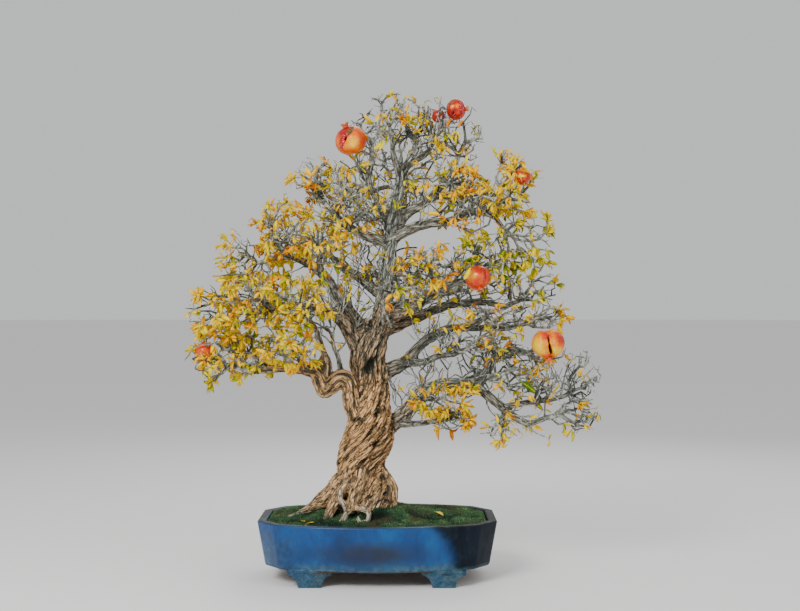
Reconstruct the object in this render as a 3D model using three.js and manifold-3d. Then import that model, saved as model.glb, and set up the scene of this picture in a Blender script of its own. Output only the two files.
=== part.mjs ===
// Pomegranate bonsai in a glazed tray pot.
// Millimetres, +Z up, front towards -Y. Routes are written from the middle of the pot's footprint.

import * as THREE from "three";
import { mergeVertices } from "three/addons/utils/BufferGeometryUtils.js";
import Module from "manifold-3d";

const wasm = await Module();
wasm.setup();

// ---------------------------------------------------------------- driving dimensions

const seatGap = 0.3; // between pieces that touch
const weldReach = 0.001; // corners of one piece closer than this are one corner

const pot = {
  halfLength: 190, // to the short ends
  shortSide: 58, // half the width of a short end
  cornerX: 160, // where a canted corner meets a long side
  cornerY: 100,
  bow: 34, // how far the long sides swell past the corners
  bowSteps: 6,
  height: 97,
  taper: 11, // the sides lean in by this much at the bottom
  wall: 14,
  floor: 12,
  lip: 2.5,
  edgeRound: 7, // the bottom edge, rounded in two steps
  edgeStep: 2,
  drainRadius: 11,
  drainSides: 8,
  drainX: 80,
};

const foot = {
  height: 25,
  depth: 32,
  halfTop: 35,
  halfSole: 18,
  step: 5,
  curl: 2, // how far the scrolled side leans past a straight line
  drop: 3,
  curlSteps: 3,
  sunk: 3,
  x: 104,
  frontY: 107,
};

const moss = {
  edgeHeight: 95,
  edgeSpread: 0.96, // the edge is rounded in this much
  peak: 115,
  centreX: -22,
  domeShare: 0.87, // the mound has run out this far from its middle to the rim
  rings: [0.75, 0.4],
  bump: 1.6,
  waves: { around: 2.3, inward: 1.7 }, // radians from one point to the next
};

const soilTop = 86;

const trunkHole = { x: -24.5, footRadius: 45, collarRadius: 63.5, sides: 14 };
const rootClearance = 0.45; // round the roots, whose flat-sided tubes need more than a seat's gap

const trunk = {
  strands: 9, // woody ropes that the trunk is twisted from
  facetsPerStrand: 3,
  rings: 15,
  relief: 0.2, // depth of the grooves as a share of the radius
  grooveLevel: 0.55, // the share of the relief that is cut in rather than raised
  slimness: 0.25, // how much lower one strand stands than the next
  strandTurn: 2.4, // radians of that change from strand to strand
  twist: 0.025, // radians for each millimetre of height
  route: [
    [-24, 0, 62, 40],
    [-25, 0, 85, 57],
    [-24, 0, 112, 55],
    [-23, 0, 140, 49],
    [-28, 0, 165, 38.5],
    [-26, 0, 193, 40.5],
    [-14, 0, 224, 42],
    [-12, 0, 257, 37],
    [-14, 0, 288, 34],
    [-13, 0, 319, 29],
    [-18, 0, 349, 29],
    [-12, 0, 380, 29],
    [-2, 0, 412, 22],
  ],
};

const hollow = { x: -14, z: 341, depth: 9, halfWidth: 8, halfHeight: 12 };

const limbRing = 38; // between one cross-section of a limb and the next
const limbSides = { thick: 5, thin: 4, thickFrom: 9 };
const rootSides = 5;

// Each limb and root is a route of [x, y, z, radius].
const limbs = {
  leader: [
    [0, 0, 385, 20], [8, 0, 430, 16], [17, -5, 480, 13.5], [20, 0, 545, 12], [34, 5, 625, 9],
    [36, 5, 655, 8],
  ],
  topLeft: [[36, 5, 645, 7], [28, 0, 675, 5.5], [22, -5, 712, 4]],
  topRight: [[34, 5, 640, 7], [52, 10, 666, 6], [78, 15, 685, 5], [90, 15, 702, 4]],
  leftLow: [
    [-20, -12, 248, 16], [-38, -25, 288, 17], [-46, -28, 312, 15], [-60, -30, 320, 14],
    [-74, -30, 308, 14], [-86, -28, 300, 12.5], [-92, -28, 315, 12], [-104, -30, 330, 10],
    [-147, -40, 337, 7.5], [-202, -50, 332, 5],
  ],
  leftKnee: [
    [-84, -26, 300, 10.5], [-83, -20, 335, 10], [-86, -22, 368, 8], [-98, -36, 398, 6],
    [-112, -54, 420, 4.5],
  ],
  leftMid: [
    [-26, -5, 361, 14.5], [-45, -15, 394, 13], [-64, -25, 420, 10.5], [-95, -35, 428, 8.5],
    [-145, -46, 432, 7], [-202, -55, 426, 5],
  ],
  leftHigh: [
    [-16, 10, 383, 14], [-43, 20, 421, 11.5], [-69, 20, 459, 9.5], [-98, 15, 494, 8], [-156, 5, 527, 5],
  ],
  upperLeft: [
    [20, 0, 535, 10], [-11, -10, 547, 8.5], [-40, -15, 558, 7.5], [-61, -20, 574, 6.5],
    [-80, -20, 597, 5.5], [-90, -20, 616, 4.5],
  ],
  crownLeft: [[23, 5, 563, 8], [0, 0, 608, 7], [-14, -10, 639, 6], [-10, -18, 667, 4.5]],
  rightHigh: [
    [21, 0, 543, 10], [49, -5, 560, 9.5], [80, -10, 568, 8.5], [112, -15, 573, 7.5],
    [142, -20, 584, 6.5], [177, -25, 593, 5],
  ],
  crownRight: [[33, 5, 572, 10], [52, 10, 589, 9], [75, 10, 605, 8], [101, 10, 630, 7], [127, 5, 670, 4.5]],
  rightMid: [
    [3, 0, 403, 14.5], [31, -10, 423, 10.5], [55, -20, 432, 9], [81, -25, 450, 7.5],
    [110, -30, 468, 6.5], [142, -35, 477, 5],
  ],
  rightBack: [
    [7, 10, 396, 13], [43, 25, 409, 10], [86, 35, 427, 8.5], [129, 40, 441, 7.5], [175, 40, 441, 6],
    [209, 35, 436, 4.5],
  ],
  rightLow: [
    [-6, 5, 318, 16], [23, 10, 334, 12.5], [46, 10, 347, 11], [64, 5, 367, 9], [88, 0, 387, 8],
    [127, -5, 400, 7], [210, -15, 400, 4.5],
  ],
  rightLowFork: [[43, 8, 344, 8], [75, -5, 346, 6.5], [96, -12, 355, 5.5], [122, -20, 358, 4.5]],
  sweep: [
    [-10, 5, 230, 19.5], [26, 10, 243, 14.5], [49, 10, 267, 13], [70, 5, 294, 11.5],
    [101, -5, 309, 10.5], [157, -10, 313, 9.5], [175, -10, 330, 8], [190, -10, 354, 5],
  ],
  sweepLow: [
    [154, -10, 313, 9], [181, -15, 289, 8.5], [203, -20, 271, 7.5], [224, -25, 256, 6],
    [245, -25, 248, 5], [271, -25, 257, 4.5],
  ],
  sweepFar: [[202, -20, 273, 6.5], [233, -15, 279, 5.5], [270, -12, 284, 5], [300, -10, 290, 4]],
  sweepTwig: [[29, 8, 246, 7], [59, -5, 246, 5.5], [88, -17, 250, 4.5]],
  backLeft: [[12, 4, 450, 12], [-22, 45, 478, 9.5], [-60, 70, 502, 7.5], [-82, 78, 522, 5]],
  backRight: [[4, 8, 415, 13], [35, 52, 436, 10], [78, 76, 450, 8], [112, 82, 458, 5.5]],
  backTop: [[24, 2, 565, 9], [38, 38, 592, 7.5], [44, 62, 622, 6], [44, 70, 640, 5]],
};

const roots = {
  creeper: [
    [-36, -12, 170, 17], [-63, -30, 146, 15], [-84, -42, 129, 10], [-112, -50, 106, 5.5],
    [-140, -50, 99, 4], [-160, -46, 94, 3],
  ],
  leftLeg: [
    [-50, -34, 157, 12], [-64, -50, 134, 9.5], [-72, -60, 118, 9], [-79, -67, 100, 7.5],
    [-84, -72, 86, 5],
  ],
  thinLeg: [
    [-48, -40, 152, 7], [-59, -55, 136, 5], [-49, -67, 113, 4.5], [-53, -74, 100, 4], [-56, -78, 88, 3],
  ],
  centreLeg: [
    [-26, -34, 162, 14], [-35, -54, 135, 10.5], [-38, -63, 121, 9], [-52, -73, 105, 5], [-62, -80, 88, 4],
  ],
  centreFork: [[-37, -60, 125, 8], [-24, -70, 117, 6], [-14, -78, 107, 5], [-10, -84, 88, 4]],
  rightButtress: [
    [1, -6, 178, 10], [9, -12, 156, 16], [13, -15, 140, 20], [14, -15, 112, 20], [14, -16, 84, 20],
  ],
  backButtress: [[-20, 20, 175, 20], [-21, 52, 132, 15], [-20, 82, 110, 9], [-16, 104, 96, 5]],
  backLeftRunner: [[-44, 16, 172, 18], [-80, 43, 130, 12], [-104, 68, 110, 7], [-122, 84, 96, 4.5]],
  backRightRunner: [[2, 14, 165, 15], [14, 40, 130, 12], [26, 64, 110, 8], [35, 84, 97, 4.5]],
};

// Sprays: name, the centre and half-sizes of its mass of twigs and leaves, the limb and the share of
// that limb's length where it starts, and how many twigs and leaves it carries.
const sprays = [
  ["left_tip", [-260, -55, 363], [38, 45, 38], "leftLow", 1, 6, 10],
  ["left_low_outer", [-209, -15, 357], [42, 45, 35], "leftLow", 0.9, 6, 10],
  ["left_low_inner", [-137, -68, 372], [42, 45, 27], "leftLow", 0.78, 6, 10],
  ["left_mid_tip", [-259, -50, 432], [42, 50, 35], "leftMid", 1, 6, 10],
  ["left_mid_outer", [-196, -78, 451], [42, 40, 38], "leftMid", 0.85, 6, 10],
  ["left_mid_inner", [-120, -85, 445], [42, 35, 35], "leftKnee", 1, 6, 9],
  ["left_mid_back", [-193, 50, 437], [64, 45, 42], "leftMid", 0.7, 6, 9],
  ["left_high_tip", [-212, 5, 507], [42, 50, 38], "leftHigh", 0.9, 6, 9],
  ["left_high_top", [-158, -10, 562], [42, 50, 42], "leftHigh", 1, 6, 9],
  ["left_high_inner", [-88, -40, 541], [42, 40, 38], "leftHigh", 0.7, 6, 7],
  ["left_high_back", [-116, 85, 535], [64, 40, 48], "backLeft", 1, 6, 8],
  ["upper_left_tip", [-104, -20, 642], [29, 35, 38], "upperLeft", 1, 5, 4],
  ["upper_left_mid", [-52, -42, 622], [32, 35, 38], "upperLeft", 0.72, 6, 5],
  ["crown_left_top", [-13, -10, 716], [32, 30, 36], "crownLeft", 1, 5, 4],
  ["upper_left_back", [-56, 60, 629], [54, 40, 48], "backTop", 0.7, 6, 6],
  ["top_left", [17, -5, 742], [32, 30, 36], "topLeft", 1, 5, 3],
  ["top_mid", [56, 22, 735], [29, 30, 42], "topRight", 0.5, 5, 3],
  ["top_right", [97, 15, 724], [32, 30, 38], "topRight", 1, 5, 3],
  ["top_back", [44, 78, 681], [64, 45, 48], "backTop", 1, 6, 6],
  ["centre_left", [-20, -42, 590], [35, 30, 30], "upperLeft", 0.45, 5, 3],
  ["crown_right_top", [137, 0, 710], [32, 30, 36], "crownRight", 1, 5, 3],
  ["crown_right_mid", [124, -34, 638], [38, 30, 32], "crownRight", 0.7, 6, 6],
  ["right_high_tip", [209, -25, 622], [38, 40, 42], "rightHigh", 1, 6, 9],
  ["right_high_outer", [229, -20, 545], [45, 40, 42], "rightHigh", 0.9, 6, 9],
  ["right_high_inner", [155, -52, 596], [38, 30, 29], "rightHigh", 0.68, 6, 6],
  ["right_high_back", [153, 62, 613], [64, 40, 45], "crownRight", 0.55, 6, 6],
  ["right_mid_tip", [172, -38, 512], [35, 35, 28], "rightMid", 1, 6, 7],
  ["right_mid_front", [86, -70, 505], [42, 30, 32], "rightMid", 0.6, 6, 7],
  ["right_back_tip", [250, 30, 470], [42, 45, 35], "rightBack", 1, 6, 5],
  ["right_back_mid", [162, 84, 470], [64, 40, 38], "backRight", 1, 6, 6],
  ["centre_front", [39, -75, 469], [38, 30, 35], "leader", 0.22, 6, 6],
  ["centre_back", [20, 92, 500], [54, 40, 44], "backLeft", 0.3, 6, 6],
  ["right_low_tip", [262, -12, 424], [42, 45, 24], "rightLow", 1, 6, 6],
  ["right_low_mid", [187, -50, 422], [42, 35, 24], "rightLow", 0.8, 6, 6],
  ["sweep_top", [250, -2, 362], [48, 40, 28], "sweep", 1, 6, 5],
  ["right_low_fork", [150, -35, 383], [42, 35, 22], "rightLowFork", 1, 5, 4],
  ["sweep_mid", [205, -32, 325], [42, 40, 26], "sweep", 0.78, 6, 5],
  ["sweep_low_tip", [317, -28, 262], [35, 35, 24], "sweepLow", 1, 5, 3],
  ["sweep_far_tip", [333, -10, 318], [29, 35, 40], "sweepFar", 1, 6, 2],
  ["sweep_far_mid", [262, -45, 305], [42, 35, 26], "sweepFar", 0.5, 5, 3],
  ["sweep_front", [100, -48, 285], [42, 30, 22], "sweep", 0.4, 6, 9],
  ["sweep_front_low", [121, -30, 256], [28, 25, 16], "sweepTwig", 1, 5, 6],
  ["sweep_hang", [196, -42, 244], [18, 20, 24], "sweepLow", 0.4, 4, 6],
  ["sweep_back", [200, 58, 335], [64, 40, 42], "sweep", 0.6, 6, 6],
].map(([name, centre, reach, limb, along, twigs, leaves]) => (
  { name, centre, reach, limb, along, twigs, leaves }
));

// The side branches that carry the sprays along a limb.
const feeder = {
  rootRadius: 6.5,
  rootShare: 0.8, // and never more than this share of the limb's thickness
  endRadius: 4.2,
  reachIn: 0.75, // ends this far from the middle of its spray, where 1 is the spray's edge
  shortest: 0.3,
  bendAt: 0.45,
  bend: 0.12, // leans along the limb by this share of its length
};

const seed = { first: 17, step: 7919 };

const twig = {
  tipRadius: 0.9,
  crowding: 0.35, // how strongly a new twig prefers a start near the limb
  hollowCore: 0.45, // twigs end outside this share of the spray
  fill: 0.88, // and inside this one, which leaves room for the last leaf
  hubShare: 0.5, // the spray's stem runs this far towards its centre
  hubLeast: 16,
  hubTurn: 0.4, // how far the stem keeps to the way of the limb
  stemTaper: 0.8,
  stemForks: [0.4, 0.65, 0.9], // later twigs leave the stem, or an earlier twig, here
  forks: [0.35, 0.6, 0.82],
  forkShare: 0.55, // their thickness as a share of what they leave
  clearance: 0.7,
  jointCrowd: 0.35, // the share of a shoot next to its joint where shoots may run close
  closeness: 0.6, // shoots of one spray may come this near, as a share of their thickness
  bud: 3,
  attempts: 14,
};

const leaf = {
  length: 30,
  shortest: 0.85, // and up to as much again above the full length
  halfWidth: 6.5,
  guard: 5.2, // radius kept free round a blade's midline
  thickness: 1.8,
  shoulder: 0.42, // widest this far along
  stem: 5,
  spread: 1.1,
  droop: 0.45,
  leastDroop: 0.4,
  arch: 0.12,
};

// Lengths on a fruit are shares of its radius.
const fruit = {
  around: 8,
  down: 5,
  flatness: 0.93,
  crack: { halfWidth: 0.1, depth: 0.28 },
  crown: { sepals: 5, sunk: 0.14, foot: 0.24, mouth: 0.39, floor: 0.12, notch: 0.24, tip: 0.44 },
  guard: { reach: 0.9, radius: 0.6 }, // room kept free round the crown
  stalkRadius: 2.2, // in millimetres
  stalkBend: 0.6,
};

// Fruits: name, centre, radius, the way the dried flower crown points, the limb that carries it and the
// share of that limb's length, and whether the skin has split down its front.
const fruits = [
  ["upper_left", [-42, -50, 699], 25, [-0.35, -0.15, 0.92], "crownLeft", 0.8, false],
  ["top", [126, -20, 753], 17, [0.95, -0.15, 0.28], "topRight", 0.85, false],
  ["top_back", [98, 14, 762], 15.5, [-0.5, 0.3, 0.8], "topRight", 0.6, false],
  ["right_high", [229, -58, 641], 14, [0.2, -0.6, -0.78], "rightHigh", 0.9, false],
  ["right_mid", [158, -75, 481], 20, [0.15, -0.4, -0.9], "rightMid", 0.85, false],
  ["right", [271, -52, 377], 26, [0.05, -0.12, -0.99], "rightLow", 0.88, true],
  ["left", [-269, -84, 366], 14, [0.6, -0.4, 0.7], "leftLow", 0.93, false],
].map(([name, centre, radius, crownWay, limb, along, split]) => (
  { name, centre, radius, crownWay, limb, along, split }
));

const finishes = {
  bark: { color: 0x9c7447, roughness: 0.85, metalness: 0 },
  twigs: { color: 0x9a938a, roughness: 0.8, metalness: 0 },
  leaves: { color: 0xe0a81c, roughness: 0.6, metalness: 0 },
  skin: { color: 0xe0552b, roughness: 0.35, metalness: 0 },
  glaze: { color: 0x1f5c9e, roughness: 0.25, metalness: 0 },
  soil: { color: 0x3a2b1e, roughness: 0.95, metalness: 0 },
  moss: { color: 0x3f6325, roughness: 0.95, metalness: 0 },
};

// ---------------------------------------------------------------- helpers

const vector = ([x, y, z]) => new THREE.Vector3(x, y, z);

// A repeatable draw between 0 and 1.
function seededDraw(seed) {
  let state = seed;
  return () => {
    state = (Math.imul(state, 1664525) + 1013904223) >>> 0;
    return state / 4294967296;
  };
}

// A closed cylinder whose points are laid out by a rule of ring, angle and share of the radius.
function sleeve(sides, rings, place) {
  const geometry = new THREE.CylinderGeometry(1, 1, rings, sides, rings);
  const spots = geometry.getAttribute("position");
  for (let i = 0; i < spots.count; i += 1) {
    const ring = Math.round(spots.getY(i) + rings / 2);
    const share = Math.round(Math.hypot(spots.getX(i), spots.getZ(i)));
    const turn = Math.atan2(spots.getX(i), spots.getZ(i)) / (2 * Math.PI);
    const side = (Math.round(turn * sides) + sides) % sides;
    const point = place(ring, side, share);
    spots.setXYZ(i, point.x, point.y, point.z);
  }
  return geometry;
}

function signedVolume(spots, corners) {
  const a = new THREE.Vector3();
  const b = new THREE.Vector3();
  const c = new THREE.Vector3();
  let sum = 0;
  for (let i = 0; i < corners.length; i += 3) {
    a.fromBufferAttribute(spots, corners[i]);
    b.fromBufferAttribute(spots, corners[i + 1]);
    c.fromBufferAttribute(spots, corners[i + 2]);
    sum += a.dot(b.cross(c));
  }
  return sum / 6;
}

function solid(geometry) {
  geometry.deleteAttribute("normal");
  geometry.deleteAttribute("uv");
  const merged = mergeVertices(geometry, weldReach);
  const spots = merged.getAttribute("position");
  const triVerts = new Uint32Array(merged.getIndex().array);
  if (signedVolume(spots, triVerts) < 0) {
    triVerts.reverse();
  }
  const mesh = new wasm.Mesh({ numProp: 3, vertProperties: new Float32Array(spots.array), triVerts });
  return new wasm.Manifold(mesh);
}

const fuse = (solids) => wasm.Manifold.union(solids);

// The largest piece that holds together, with any sealed hollow filled.
function wholeBody(body) {
  const pieces = body.decompose();
  pieces.sort((one, other) => other.volume() - one.volume());
  return pieces[0];
}

function named(name, body, finish) {
  const { vertProperties, triVerts } = body.getMesh();
  const geometry = new THREE.BufferGeometry();
  geometry.setAttribute("position", new THREE.BufferAttribute(vertProperties, 3));
  geometry.setIndex(new THREE.BufferAttribute(triVerts, 1));
  const mesh = new THREE.Mesh(geometry, new THREE.MeshStandardMaterial(finish));
  mesh.name = name;
  return mesh;
}

function routeCurve(route) {
  return new THREE.CatmullRomCurve3(route.map(vector), false, "catmullrom", 0.5);
}

function routeRadius(route, t) {
  const place = Math.min(t * (route.length - 1), route.length - 1.000001);
  const index = Math.floor(place);
  return THREE.MathUtils.lerp(route[index][3], route[index + 1][3], place - index);
}

// Cross-sections along a route, turned as little as possible from one to the next.
function sectionsAlong(route, rings) {
  const curve = routeCurve(route);
  const side = new THREE.Vector3(0.3, 0.9, 0.2);
  const sections = [];
  for (let ring = 0; ring <= rings; ring += 1) {
    const t = ring / rings;
    const heading = curve.getTangent(t);
    side.addScaledVector(heading, -side.dot(heading)).normalize();
    const across = heading.clone().cross(side);
    const radius = routeRadius(route, t);
    sections.push({ centre: curve.getPoint(t), heading, side: side.clone(), across, radius });
  }
  return sections;
}

// A tube through cross-sections, swollen all over, its two ends included.
function tube(sections, sides, swell = 0) {
  const last = sections.length - 1;
  return sleeve(sides, last, (ring, index, share) => {
    const { centre, heading, side, across, radius } = sections[ring];
    const angle = (index / sides) * 2 * Math.PI;
    const reach = (radius + swell) * share;
    const point = centre.clone().addScaledVector(side, Math.cos(angle) * reach);
    point.addScaledVector(across, Math.sin(angle) * reach);
    return point.addScaledVector(heading, ring === 0 ? -swell : ring === last ? swell : 0);
  });
}

// ---------------------------------------------------------------- pot, soil and moss

function potOutline(inset) {
  const corners = [[pot.halfLength, -pot.shortSide], [pot.halfLength, pot.shortSide]];
  const bowedSide = [];
  for (let step = 0; step <= pot.bowSteps; step += 1) {
    const x = pot.cornerX * (1 - (2 * step) / pot.bowSteps);
    bowedSide.push([x, pot.cornerY + pot.bow * (1 - (x / pot.cornerX) ** 2)]);
  }
  corners.push(...bowedSide);
  corners.push([-pot.halfLength, pot.shortSide], [-pot.halfLength, -pot.shortSide]);
  corners.push(...bowedSide.map(([x, y]) => [-x, -y]));
  const points = corners.map(([x, y]) => new THREE.Vector2(x, y));
  return points.map((point, i) => {
    const before = points[(i + points.length - 1) % points.length];
    const after = points[(i + 1) % points.length];
    const inward = point.clone().sub(before).normalize();
    const onward = after.clone().sub(point).normalize();
    const lean = new THREE.Vector2(-inward.y - onward.y, inward.x + onward.x);
    return point.clone().addScaledVector(lean, inset / (1 + inward.dot(onward)));
  });
}

const outlineSides = potOutline(0).length;
const rimZ = pot.height - pot.lip;
const cavityFloorZ = foot.height + pot.floor;

// How far the cavity's wall stands in from the rim's outline at a height.
function wallInset(z) {
  return pot.wall + (pot.taper * (rimZ - z)) / (rimZ - cavityFloorZ);
}

// A body of outline rings, from the middle of its underside over its edge to the middle of its top.
function layered(rings, middle = { x: 0, y: 0 }) {
  return sleeve(outlineSides, rings.length - 1, (ring, side, share) => {
    const { z, inset, spread = 1, rough = 0 } = rings[ring];
    const point = potOutline(inset)[side];
    const grown = spread * share;
    const x = THREE.MathUtils.lerp(middle.x, point.x, grown);
    const y = THREE.MathUtils.lerp(middle.y, point.y, grown);
    const wave = Math.sin(side * moss.waves.around + ring * moss.waves.inward);
    return new THREE.Vector3(x, y, z + rough * wave);
  });
}

function footSolid(x, y) {
  const profile = new THREE.Shape();
  const shoulder = foot.height - foot.step;
  profile.moveTo(-foot.halfTop, foot.height + foot.sunk);
  profile.lineTo(-foot.halfTop, shoulder);
  profile.quadraticCurveTo(-foot.halfSole - foot.curl, shoulder - foot.drop, -foot.halfSole, 0);
  profile.lineTo(foot.halfSole, 0);
  profile.quadraticCurveTo(foot.halfSole + foot.curl, shoulder - foot.drop, foot.halfTop, shoulder);
  profile.lineTo(foot.halfTop, foot.height + foot.sunk);
  const options = { depth: foot.depth, bevelEnabled: false, curveSegments: foot.curlSteps };
  const geometry = new THREE.ExtrudeGeometry(profile, options);
  geometry.rotateX(Math.PI / 2);
  geometry.translate(x, y, 0);
  return solid(geometry);
}

function makePot() {
  const shell = layered([
    { z: foot.height, inset: pot.taper + pot.edgeRound },
    { z: foot.height + pot.edgeStep, inset: pot.taper + pot.edgeStep },
    { z: foot.height + pot.edgeRound, inset: pot.taper },
    { z: rimZ, inset: 0 },
    { z: pot.height, inset: pot.lip },
    { z: pot.height, inset: pot.wall - pot.lip },
    { z: rimZ, inset: pot.wall },
    { z: cavityFloorZ, inset: wallInset(cavityFloorZ) },
  ]);
  const solids = [solid(shell)];
  for (const x of [-foot.x, foot.x]) {
    solids.push(footSolid(x, -foot.frontY + foot.depth), footSolid(x, foot.frontY));
  }
  let body = fuse(solids);
  for (const x of [-pot.drainX, pot.drainX]) {
    const through = 4 * pot.floor;
    const drain = new THREE.CylinderGeometry(pot.drainRadius, pot.drainRadius, through, pot.drainSides);
    drain.rotateX(Math.PI / 2);
    drain.translate(x, 0, foot.height);
    body = body.subtract(solid(drain));
  }
  return named("pot", body, finishes.glaze);
}

// Height of the mound's surface for a share of the way from its middle to the rim.
function moundZ(share) {
  const rise = 0.5 + 0.5 * Math.cos(Math.PI * Math.min(share / moss.domeShare, 1));
  return THREE.MathUtils.lerp(moss.edgeHeight, moss.peak, rise);
}

const moundMiddle = { x: moss.centreX, y: 0 };

function makeSoil(treeBase) {
  const low = cavityFloorZ + seatGap;
  const rings = [
    { z: low, inset: wallInset(low) + seatGap },
    { z: soilTop, inset: wallInset(soilTop) + seatGap },
  ];
  return named("soil", wholeBody(solid(layered(rings, moundMiddle)).subtract(treeBase)), finishes.soil);
}

function makeMoss(treeBase) {
  const inset = wallInset(soilTop) + seatGap;
  const rings = [
    { z: soilTop + seatGap, inset },
    { z: moss.edgeHeight - moss.bump, inset },
    { z: moss.edgeHeight, inset, spread: moss.edgeSpread, rough: moss.bump / 2 },
  ];
  for (const spread of moss.rings) {
    rings.push({ z: moundZ(spread), inset, spread, rough: moss.bump });
  }
  return named("moss", wholeBody(solid(layered(rings, moundMiddle)).subtract(treeBase)), finishes.moss);
}

// ---------------------------------------------------------------- tree

// Rope-like strands, each rounded on top with a sharp groove on both sides of it.
function strandShape(side) {
  const strand = Math.floor(side / trunk.facetsPerStrand);
  const phase = (side % trunk.facetsPerStrand) / trunk.facetsPerStrand;
  const fullness = 1 - trunk.slimness * (1 - Math.sin(strand * trunk.strandTurn));
  return 1 + trunk.relief * (Math.sin(phase * Math.PI) * fullness - trunk.grooveLevel);
}

function trunkSkin() {
  const curve = routeCurve(trunk.route);
  const sides = trunk.strands * trunk.facetsPerStrand;
  return sleeve(sides, trunk.rings, (ring, side, share) => {
    const t = ring / trunk.rings;
    const centre = curve.getPoint(t);
    const angle = (side / sides) * 2 * Math.PI + trunk.twist * centre.z;
    const reach = routeRadius(trunk.route, t) * strandShape(side) * share;
    const x = centre.x + Math.cos(angle) * reach;
    const y = centre.y + Math.sin(angle) * reach;
    const aside = Math.hypot((x - hollow.x) / hollow.halfWidth, (centre.z - hollow.z) / hollow.halfHeight);
    const sink = y < centre.y ? hollow.depth * Math.exp(-aside * aside) * share : 0;
    return new THREE.Vector3(x, y + sink, centre.z);
  });
}

function rootTubes(swell) {
  const sections = Object.values(roots).map((route) => sectionsAlong(route, route.length));
  return sections.map((one) => solid(tube(one, rootSides, swell)));
}

// The plain hole that the trunk's foot stands in, with a hollow for each root.
function treeBaseCutter() {
  const rings = [
    { z: trunk.route[0][2] - seatGap, radius: trunkHole.footRadius },
    { z: soilTop, radius: trunkHole.collarRadius },
    { z: moss.peak + 2 * moss.bump, radius: trunkHole.collarRadius },
  ];
  const hole = sleeve(trunkHole.sides, rings.length - 1, (ring, side, share) => {
    const { z, radius } = rings[ring];
    const angle = (side / trunkHole.sides) * 2 * Math.PI;
    const reach = radius * share;
    return new THREE.Vector3(trunkHole.x + Math.cos(angle) * reach, Math.sin(angle) * reach, z);
  });
  return fuse([solid(hole), ...rootTubes(rootClearance)]);
}

function limbSections(route) {
  return sectionsAlong(route, Math.round(routeCurve(route).getLength() / limbRing) + 1);
}

const limbTubes = Object.values(limbs).map(limbSections);

// Where a limb lets a spray or a fruit go, and which way it runs there.
function limbPoint(name, along) {
  const curve = routeCurve(limbs[name]);
  const radius = routeRadius(limbs[name], along);
  return { point: curve.getPoint(along), heading: curve.getTangent(along), radius };
}

// A side branch from inside a limb to the edge of the spray that it carries.
function feederSections(spray) {
  const { point, heading, radius } = limbPoint(spray.limb, spray.along);
  const centre = vector(spray.centre);
  const reach = vector(spray.reach);
  const span = centre.clone().sub(point);
  const depth = span.clone().divide(reach).length();
  const stop = Math.max(1 - feeder.reachIn / depth, feeder.shortest);
  const end = point.clone().addScaledVector(span, stop);
  const middle = point.clone().addScaledVector(span, stop * feeder.bendAt);
  middle.addScaledVector(heading, span.length() * feeder.bend);
  const startRadius = Math.min(radius * feeder.rootShare, feeder.rootRadius);
  const endRadius = Math.min(startRadius, feeder.endRadius);
  const route = [
    [...point.toArray(), startRadius],
    [...middle.toArray(), (startRadius + endRadius) / 2],
    [...end.toArray(), endRadius],
  ];
  return sectionsAlong(route, 2);
}

// The cut end that each spray grows on from: a limb's own end, or the end of its feeder.
for (const spray of sprays) {
  spray.feeder = spray.along < 1 ? feederSections(spray) : limbSections(limbs[spray.limb]);
  spray.seat = spray.feeder.at(-1);
}

function stalkSections({ centre, radius, crownWay, limb, along }) {
  const way = vector(crownWay).normalize();
  const start = limbPoint(limb, along);
  const end = vector(centre).addScaledVector(way, -radius * fruit.flatness - seatGap);
  const bend = end.clone().addScaledVector(way, -radius * fruit.stalkBend);
  const route = [start.point, bend, end].map((point) => [...point.toArray(), fruit.stalkRadius]);
  return sectionsAlong(route, 3);
}

const feeders = sprays.filter((spray) => spray.along < 1).map((spray) => spray.feeder);
const stalks = fruits.map(stalkSections);

function makeTree() {
  const solids = [solid(trunkSkin()), ...rootTubes(0)];
  for (const sections of limbTubes) {
    const sides = sections[0].radius > limbSides.thickFrom ? limbSides.thick : limbSides.thin;
    solids.push(solid(tube(sections, sides)));
  }
  for (const sections of [...feeders, ...stalks]) {
    solids.push(solid(tube(sections, 3)));
  }
  return named("tree", wholeBody(fuse(solids)), finishes.bark);
}

// ---------------------------------------------------------------- fruits

function fruitSkin({ radius, split }) {
  const body = new THREE.SphereGeometry(radius, fruit.around, fruit.down);
  body.rotateX(Math.PI / 2);
  const spots = body.getAttribute("position");
  for (let i = 0; i < spots.count; i += 1) {
    const point = new THREE.Vector3().fromBufferAttribute(spots, i);
    const edge = radius * fruit.crack.halfWidth;
    const inCrack = split && point.y < -edge && Math.abs(point.x) < edge;
    point.multiplyScalar(inCrack ? 1 - fruit.crack.depth : 1);
    spots.setXYZ(i, point.x, point.y, point.z * fruit.flatness);
  }
  return solid(body);
}

// The dried flower crown: a cup that opens into pointed sepals.
function crownSkin({ radius }) {
  const { sepals, sunk, foot: footReach, mouth, floor, notch, tip } = fruit.crown;
  const sides = sepals * 2;
  return solid(sleeve(sides, 1, (ring, side, share) => {
    const angle = (side / sides) * 2 * Math.PI;
    const reach = (ring === 0 ? footReach : mouth) * share;
    const edge = side % 2 === 0 ? tip : notch;
    const height = ring === 0 ? -sunk : THREE.MathUtils.lerp(floor, edge, share);
    const x = Math.cos(angle) * reach;
    const y = Math.sin(angle) * reach;
    return new THREE.Vector3(x, y, fruit.flatness + height).multiplyScalar(radius);
  }));
}

function makeFruit(spec) {
  const mesh = named(`fruit_${spec.name}`, fuse([fruitSkin(spec), crownSkin(spec)]), finishes.skin);
  mesh.position.copy(vector(spec.centre));
  mesh.quaternion.setFromUnitVectors(new THREE.Vector3(0, 0, 1), vector(spec.crownWay).normalize());
  return mesh;
}

// ---------------------------------------------------------------- twigs and leaves

const drawVector = (draw) => new THREE.Vector3(draw() * 2 - 1, draw() * 2 - 1, draw() * 2 - 1);

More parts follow.
